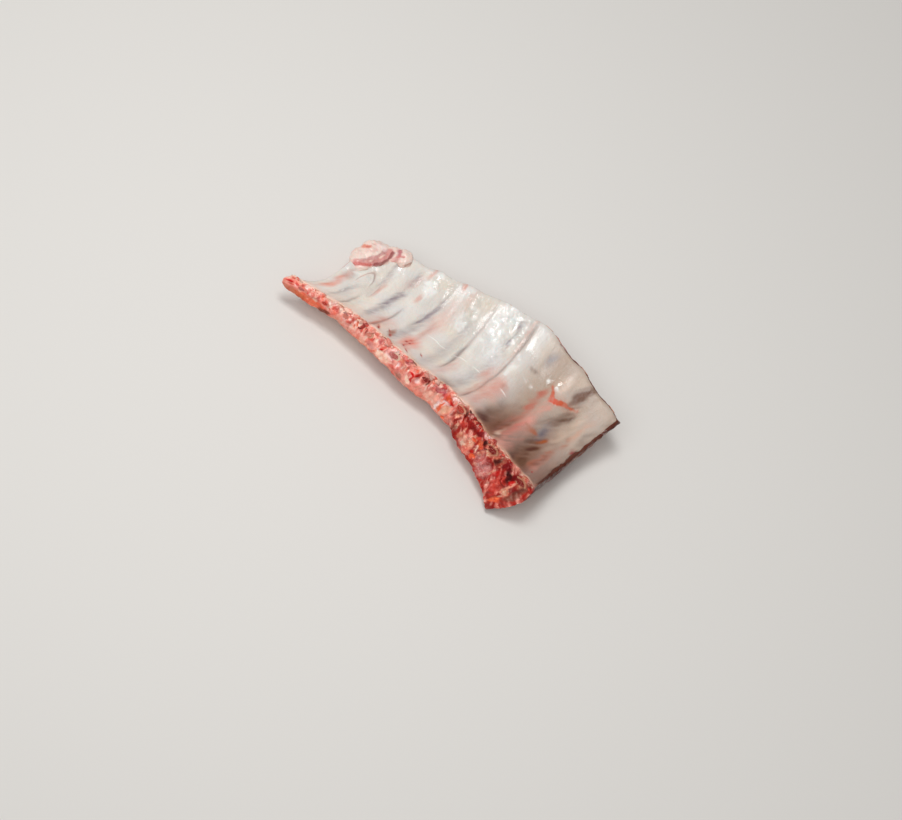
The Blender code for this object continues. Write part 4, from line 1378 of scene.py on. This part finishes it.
def nub_group():
    """Geometry Nodes: an uneven pebble on every point, turned and stretched as the point says."""
    group, given, result = geometry_group("Saw Nubs", ("Detail", "Int", 3), ("Unevenness", "Float", 0.0024))
    pebble = add_node(group, "GeometryNodeMeshIcoSphere", Radius=1.0, Subdivisions=given["Detail"])
    turn, radii = (kept(group, name, "FLOAT_VECTOR") for name in ("turn", "radii"))
    inputs = {"Points": given["Geometry"], "Instance": pebble.outputs[0], "Rotation": turn, "Scale": radii}
    placed = add_node(group, "GeometryNodeInstanceOnPoints", **inputs).outputs[0]
    real = add_node(group, "GeometryNodeRealizeInstances", Geometry=placed).outputs[0]
    rise = times(group, minus(group, noise(group, point_place(group), 360.0), 0.5), given["Unevenness"])
    rounded = add_node(group, "GeometryNodeSetShadeSmooth", Geometry=raised(group, real, rise)).outputs[0]
    return end_group(group, given, result, rounded)


class RIBS_OT_nubs(bpy.types.Operator):
    """Strew the nubs along the sawn front edge"""

    bl_idname = "ribs.nubs"
    bl_label = "Saw nubs"

    def execute(self, context):
        chosen = settings_of("rib_nubs")
        draw = np.random.default_rng(NUB_SEED)
        s = np.sort(draw.uniform(0.004, 0.992, chosen.count))
        bunched = smooth(-0.35, 0.5, mottle(flat_place(s, 0 * s), 0.007, 51, 2))
        bunched *= 1 - 0.5 * smooth(0.5, 0.7, s)
        v = draw.uniform(-0.004, 0.01, len(s))
        t = draw.uniform(0, 0.1, len(s))
        size = chosen.size * (0.45 + 0.8 * bunched) * draw.uniform(0.7, 1.3, len(s))
        lengths = draw.uniform(0.8, 1.4, len(s))
        radii = size[:, None] * np.stack([lengths, np.full(len(s), 0.7), np.full(len(s), 0.6)], axis=-1)
        turn = draw.uniform(-0.5, 0.5, (len(s), 3))
        tones, _ = flesh_marks(s, 0 * s, 0 * s + NUB_DEPTH)
        for tone, strength in (("cream", 0.7 * (s < 0.62)), ("salmon", 0.4), ("red", 0.7)):
            tones = lay(tones, tone, strength * (draw.random(len(s)) < 0.22))
        mesh = bpy.data.meshes.new("saw_nubs")
        mesh.from_pydata(slab_point(s, v, t, 0.0003).tolist(), [], [])
        store_tone(mesh, tones)
        store(mesh, "FLOAT_VECTOR", radii=radii, turn=turn)
        piece = add_piece(mesh)
        shape_with(piece, nub_group(), Material=bpy.data.materials["flesh"])
        finish_piece(piece, "meat", "meat")
        return {"FINISHED"}


# ---------------------------------------------------------------------------------------------------------
# The bones.

BONE_RINGS = 40
BONE_SIDES = 48
BONE_CREASE = math.radians(40)


class BoneSettings(bpy.types.PropertyGroup):
    """Sizes of the bones' sawn ends."""

    rim: FloatProperty(
        name="Rim", description="Thickness of the hard bone round the marrow", default=0.0011, unit="LENGTH"
    )
    marrow_depth: FloatProperty(
        name="Marrow depth", description="How far the marrow is sunk", default=0.0006, unit="LENGTH"
    )


def bone_path(rib):
    """The bone's middle points, and its half widths to the side and up at each.

    They are set so that its cut ends lie in the rack's own faces even where those run aslant.
    """
    place, width, thick, last = rib
    proud = BONE_PROUD / (through(BACK_Y, place) - through(FRONT_Y, place))
    v = np.linspace(-proud, min(last, 1 + proud * smooth(0.65, 0.7, place)), BONE_RINGS)
    s = np.full_like(v, place)
    centre = slab_point(s, v, 0, -BONE_DEPTH)
    side = bare_membrane(s + 0.01, v) - bare_membrane(s - 0.01, v)
    up = upward(s, v)
    clear = unit(side - up * np.sum(side * up, axis=-1, keepdims=True))
    across = np.cross(unit(np.gradient(centre, axis=0)), up)
    # Stretched, so that the bone is as wide as it should be square to its length.
    stretch = 1 / np.maximum(np.abs(np.sum(clear * across, axis=-1, keepdims=True)), 0.6)
    return centre, clear * stretch * width / 2, up * thick / 2


def bone_group():
    """Geometry Nodes: an oval bone along a line, with a rim and sunk marrow at its flat ends."""
    group, given, result = geometry_group(
        "Rib Bone",
        ("Sides", "Int", BONE_SIDES),
        ("Rim Share", "Float", 0.75),
        ("Marrow Depth", "Float", 0.0006),
        ("Rim Colour", "Color", None),
        ("Marrow Colour", "Color", None),
    )
    names = ("centre", "side", "up", "ring")
    centre, side, up, ring = (kept(group, name, "FLOAT_VECTOR") for name in names)
    circle = add_node(group, "GeometryNodeCurvePrimitiveCircle", Resolution=given["Sides"], Radius=1.0)
    profile = keep(group, circle.outputs[0], "ring", point_place(group), "FLOAT_VECTOR")
    line = add_node(group, "GeometryNodeMeshToCurve", Mesh=given["Geometry"]).outputs[0]
    rod = add_node(group, "GeometryNodeCurveToMesh", Curve=line, Profile_Curve=profile, Fill_Caps=True)
    turn = add_node(group, "ShaderNodeSeparateXYZ", Vector=ring).outputs
    sideways = vector_math(group, "SCALE", Vector=side, Scale=turn["X"])
    upwards = vector_math(group, "SCALE", Vector=up, Scale=turn["Y"])
    offset = vector_math(group, "ADD", in_0=sideways, in_1=upwards)
    uneven = vector_math(group, "MULTIPLY_ADD", in_0=centre, in_1=(150.0, 150.0, 150.0), in_2=ring)
    uneven = remap(group, noise(group, uneven, 1.0), 0.3, 0.7, 0.78, 1.12)
    offset = vector_math(group, "SCALE", Vector=offset, Scale=uneven)
    place = vector_math(group, "ADD", in_0=centre, in_1=offset)
    shaped = add_node(group, "GeometryNodeSetPosition", Geometry=rod.outputs[0], Position=place).outputs[0]
    # The two ends are the only faces with many neighbours.
    neighbours = group.nodes.new("GeometryNodeInputMeshFaceNeighbors").outputs[0]
    comparison = {"data_type": "INT", "operation": "GREATER_THAN"}
    ends = add_node(group, "FunctionNodeCompare", comparison, A=neighbours, B=8).outputs[0]

    def extruded(geometry, faces, distance):
        """The geometry with faces pushed out, and which faces are the pushed and the new side ones."""
        inputs = {"Mesh": geometry, "Selection": faces, "Offset_Scale": distance}
        return add_node(group, "GeometryNodeExtrudeMesh", {"mode": "FACES"}, **inputs).outputs

    rimmed, inside, _ = extruded(shaped, ends, 0.0)
    inputs = {"Geometry": rimmed, "Selection": inside, "Scale": given["Rim Share"]}
    shrunk = add_node(group, "GeometryNodeScaleElements", **inputs).outputs[0]
    sunk, marrow, _ = extruded(shrunk, inside, times(group, given["Marrow Depth"], -1.0))
    tagged = keep(group, sunk, "tone", given["Rim Colour"], "FLOAT_COLOR", "FACE")
    tagged = keep(group, tagged, "tone", given["Marrow Colour"], "FLOAT_COLOR", "FACE", marrow)
    tagged = keep(group, tagged, "marrow", 1.0, "FLOAT", "FACE", marrow)
    return end_group(group, given, result, tagged)


def bone_material():
    """Sawn bone: a hard rim round spongy marrow, each in its bone's own tone."""
    material, tree, shader, _, blotch, grain = new_material(
        "bone", 500.0, 1400.0, Subsurface_Weight=0.05, Subsurface_Scale=0.0005, Coat_Roughness=0.2,
        Coat_Weight=0.25, Roughness=0.42, Specular_IOR_Level=0.2,
    )
    marrow = mark(tree, "marrow")
    colour = tinted(
        tree,
        (blotch, 0.6, (0.86, 0.62, 0.58), "MULTIPLY"),
        (times(tree, grain, marrow), 0.5, (0.66, 0.34, 0.32), "MULTIPLY"),
        (times(tree, remap(tree, grain, 0.35, 0.1), marrow), 0.5, shade(236, 176, 156), "MIX"),
    )
    finish_material(tree, shader, colour, plus(tree, grain, blotch), 0.9, 0.0006)
    return material


class RIBS_OT_bones(bpy.types.Operator):
    """Run the bones through the meat"""

    bl_idname = "ribs.bones"
    bl_label = "Bones"

    def execute(self, context):
        chosen = settings_of("rib_bones")
        group, material = bone_group(), bone_material()
        for number, (rib, tones) in enumerate(zip(RIBS, BONE_TONES), 1):
            centre, side, up = bone_path(rib)
            mesh = bpy.data.meshes.new(f"bone_{number}")
            mesh.from_pydata(centre.tolist(), [(i, i + 1) for i in range(len(centre) - 1)], [])
            store(mesh, "FLOAT_VECTOR", centre=centre, side=side, up=up)
            piece = add_piece(mesh)
            rim, marrow = ((*shade(*TONES[name]), 1.0) for name in tones)
            inputs = {"Rim_Share": 1 - 2 * chosen.rim / rib[2], "Marrow_Depth": chosen.marrow_depth}
            shape_with(piece, group, Rim_Colour=rim, Marrow_Colour=marrow, Material=material, **inputs)
            piece.data.shade_smooth()
            piece.data.set_sharp_from_angle(angle=BONE_CREASE)
            finish_piece(piece, "bone", f"rib_{number}")
        return {"FINISHED"}


# ---------------------------------------------------------------------------------------------------------
# The fat lumps.

LUMP_SOFTENING = (0.9, 16)  # how strongly their skin is smoothed and how often
LUMP_TOP = 0.004  # height above the membrane at which their marks are placed


class FatSettings(bpy.types.PropertyGroup):
    """The fat lumps' fineness and colour."""

    detail: FloatProperty(
        name="Detail", description="Size of the lumps' mesh cells", default=0.0006, unit="LENGTH"
    )
    cream: FloatVectorProperty(
        name="Cream", description="Colour of the fat", subtype="COLOR", default=shade(238, 214, 202)
    )


def lump_mesh():
    """The lumps as stretched balls that run into each other."""
    shape = bmesh.new()
    for s, v, height, radii, turn in LUMPS:
        centre = Vector(slab_point(s, v, 0, height))
        matrix = Matrix.Translation(centre) @ Matrix.Rotation(turn, 4, "Z") @ Matrix.Diagonal((*radii, 1))
        bmesh.ops.create_icosphere(shape, subdivisions=4, radius=1, matrix=matrix)
    mesh = bpy.data.meshes.new("fat_lumps")
    shape.to_mesh(mesh)
    shape.free()
    return mesh


def fat_material():
    """Creamy fat with streaks of muscle."""
    material, tree, shader, place, blotch, grain = new_material(
        "fat", 160.0, 1100.0, Subsurface_Weight=0.25, Subsurface_Scale=0.0012, Coat_Roughness=0.18
    )
    layers = (blotch, 0.4, (0.9, 0.78, 0.76), "MULTIPLY"), (grain, 0.15, (0.95, 0.88, 0.85), "MIX")
    coat = wet_film(tree, shader, place, Scale=120.0, Dullest=0.5, Glossiest=0.35, Driest=0.1, Wettest=0.6)
    connect(tree, coat, shader["Coat Weight"])
    finish_material(tree, shader, tinted(tree, *layers), grain, 0.5, 0.0003)
    return material


class RIBS_OT_fat(bpy.types.Operator):
    """Heap the fat lumps on the thin end's back corner"""

    bl_idname = "ribs.fat"
    bl_label = "Fat lumps"

    def execute(self, context):
        chosen = settings_of("rib_fat")
        piece = add_piece(lump_mesh())
        skin = piece.modifiers.new("skin", "REMESH")
        skin.mode = "VOXEL"
        skin.voxel_size = chosen.detail
        soften = piece.modifiers.new("soften", "SMOOTH")
        soften.factor, soften.iterations = LUMP_SOFTENING
        mesh = take_shape(piece)
        points, normals = vertex_vectors(mesh).astype(float), vertex_vectors(mesh, "normal")
        colours = lay(np.array(chosen.cream), "rose", 0.3 * smooth(0.1, 0.9, mottle(points, 0.009, 40, 2)))
        sunk = np.zeros(len(points))
        waver = 0.0007 * mottle(points, 0.0045, 41, 2)
        for run, width, tone, strength in LUMP_MARKS:
            s, v = np.array(run).T
            distance = run_distance(points[:, :2], slab_point(s, v, 0, LUMP_TOP)[:, :2]) + waver
            mask = strength * (1 - smooth(0.5 * width, 1.3 * width, distance))
            colours = lay(colours, tone, mask)
            if tone not in ("white", "orange"):
                sunk = np.maximum(sunk, mask)
        relief = 0.0011 * mottle(points, 0.009, 42, 3) - 0.0008 * sunk
        move_vertices(mesh, points + normals * relief[:, None])
        store_tone(mesh, colours)
        mesh.shade_smooth()
        mesh.materials.clear()
        mesh.materials.append(fat_material())
        finish_piece(piece, "meat", "meat")
        return {"FINISHED"}


# ---------------------------------------------------------------------------------------------------------
# The stage.

CAMERA_DISTANCE = 2.2
CAMERA_LENS = 99.9
CAMERA_SENSOR = 36
CAMERA_AZIMUTH = math.radians(-5.51)
CAMERA_ELEVATION = math.radians(55.86)
CAMERA_ROLL = math.radians(36.46)
CAMERA_TARGET = (0.1635, -0.0466, 0.02)  # before centring
LAMP_PLACE = (-0.3, -0.15, 1.3)
LAMP_SIZE = 0.42
SKY_TURN = (math.radians(35), math.radians(-12), 0)
SKY_ANGLE = math.radians(40)
STUDIO_COLOUR = (1.0, 0.99, 0.97, 1)
STUDIO_STRENGTH = 0.32


class StageSettings(bpy.types.PropertyGroup):
    """The floor and the lights."""

    floor_size: FloatProperty(name="Floor size", description="Side of the floor", default=6, unit="LENGTH")
    lamp_power: FloatProperty(
        name="Lamp power", description="Strength of the large lamp overhead", default=8, unit="POWER"
    )
    sky_strength: FloatProperty(
        name="Sky strength", description="Strength of the wide soft light from the front", default=1.05
    )
    floor_colour: FloatVectorProperty(
        name="Floor colour", description="Colour of the floor", subtype="COLOR", default=(0.73, 0.71, 0.68)
    )


def add_floor(size, colour):
    """A square floor under the origin."""
    half = size / 2
    corners = [(-half, -half, 0), (half, -half, 0), (half, half, 0), (-half, half, 0)]
    mesh = bpy.data.meshes.new("floor")
    mesh.from_pydata(corners, [], [range(4)])
    material = bpy.data.materials.new("floor")
    material.use_nodes = True
    shader = material.node_tree.nodes["Principled BSDF"].inputs
    shader["Base Color"].default_value = (*colour, 1)
    shader["Roughness"].default_value = 0.7
    mesh.materials.append(material)
    return add_piece(mesh)


def add_light(name, kind, power):
    """A light and the object that carries it."""
    light = bpy.data.lights.new(name, kind)
    light.energy = power
    return light, show(bpy.data.objects.new(name, light))


def add_camera():
    """The camera, which looks down from the front and is rolled, so that the rack lies aslant."""
    camera = bpy.data.cameras.new("camera")
    camera.lens = CAMERA_LENS
    camera.sensor_width = CAMERA_SENSOR
    obj = show(bpy.data.objects.new("camera", camera))
    level = math.cos(CAMERA_ELEVATION)
    x, y = math.sin(CAMERA_AZIMUTH) * level, math.cos(CAMERA_AZIMUTH) * level
    forward = Vector((x, y, -math.sin(CAMERA_ELEVATION)))
    place = Vector(CAMERA_TARGET) + Vector(CENTRING) - forward * CAMERA_DISTANCE
    upright = forward.to_track_quat("-Z", "Y").to_matrix().to_4x4()
    obj.matrix_world = Matrix.Translation(place) @ upright @ Matrix.Rotation(CAMERA_ROLL, 4, "Z")
    return obj


class RIBS_OT_stage(bpy.types.Operator):
    """Set out the floor, the lamps and the camera"""

    bl_idname = "ribs.stage"
    bl_label = "Stage"

    def execute(self, context):
        chosen, scene = settings_of("rib_stage"), context.scene
        floor = add_floor(chosen.floor_size, chosen.floor_colour)
        scene.world = bpy.data.worlds.new("studio")
        scene.world.use_nodes = True
        background = scene.world.node_tree.nodes["Background"].inputs
        background["Color"].default_value = STUDIO_COLOUR
        background["Strength"].default_value = STUDIO_STRENGTH
        lamp, overhead = add_light("overhead", "AREA", chosen.lamp_power)
        lamp.size = LAMP_SIZE
        overhead.location = LAMP_PLACE
        overhead.rotation_euler = (-overhead.location).to_track_quat("-Z", "Y").to_euler()
        sun, sky = add_light("sky", "SUN", chosen.sky_strength)
        sun.angle = SKY_ANGLE
        sky.rotation_euler = SKY_TURN
        scene.view_settings.view_transform = "Standard"
        scene.camera = add_camera()
        return {"FINISHED"}


# ---------------------------------------------------------------------------------------------------------
# The add-on.

SECTIONS = (
    ("rib_stage", StageSettings, RIBS_OT_stage),
    ("rib_membrane", MembraneSettings, RIBS_OT_membrane),
    ("rib_flesh", FleshSettings, RIBS_OT_flesh),
    ("rib_nubs", NubSettings, RIBS_OT_nubs),
    ("rib_bones", BoneSettings, RIBS_OT_bones),
    ("rib_fat", FatSettings, RIBS_OT_fat),
)


class RIBS_PT_panel(bpy.types.Panel):
    """Lists the sections of the rack, each with its settings and its button."""

    bl_idname = "RIBS_PT_panel"
    bl_label = "Rack of Ribs"
    bl_space_type = "VIEW_3D"
    bl_region_type = "UI"
    bl_category = "Ribs"

    def draw(self, context):
        for name, _, operator in SECTIONS:
            box = self.layout.box()
            settings = getattr(context.scene, name)
            for key in settings.bl_rna.properties.keys():
                if key not in ("rna_type", "name"):
                    box.prop(settings, key)
            box.operator(operator.bl_idname)


def register():
    """Adds the settings, the operators and the panel to Blender."""
    for name, settings, operator in SECTIONS:
        bpy.utils.register_class(settings)
        setattr(bpy.types.Scene, name, PointerProperty(type=settings))
        bpy.utils.register_class(operator)
    bpy.utils.register_class(RIBS_PT_panel)


def unregister():
    """Takes them out again."""
    bpy.utils.unregister_class(RIBS_PT_panel)
    for name, settings, operator in reversed(SECTIONS):
        bpy.utils.unregister_class(operator)
        delattr(bpy.types.Scene, name)
        bpy.utils.unregister_class(settings)


def main():
    """Builds the rack on its stage."""
    register()
    bpy.ops.ribs.stage()
    bpy.ops.ribs.membrane()
    bpy.ops.ribs.flesh()
    bpy.ops.ribs.nubs()
    bpy.ops.ribs.bones()
    bpy.ops.ribs.fat()


if __name__ == "__main__":
    main()
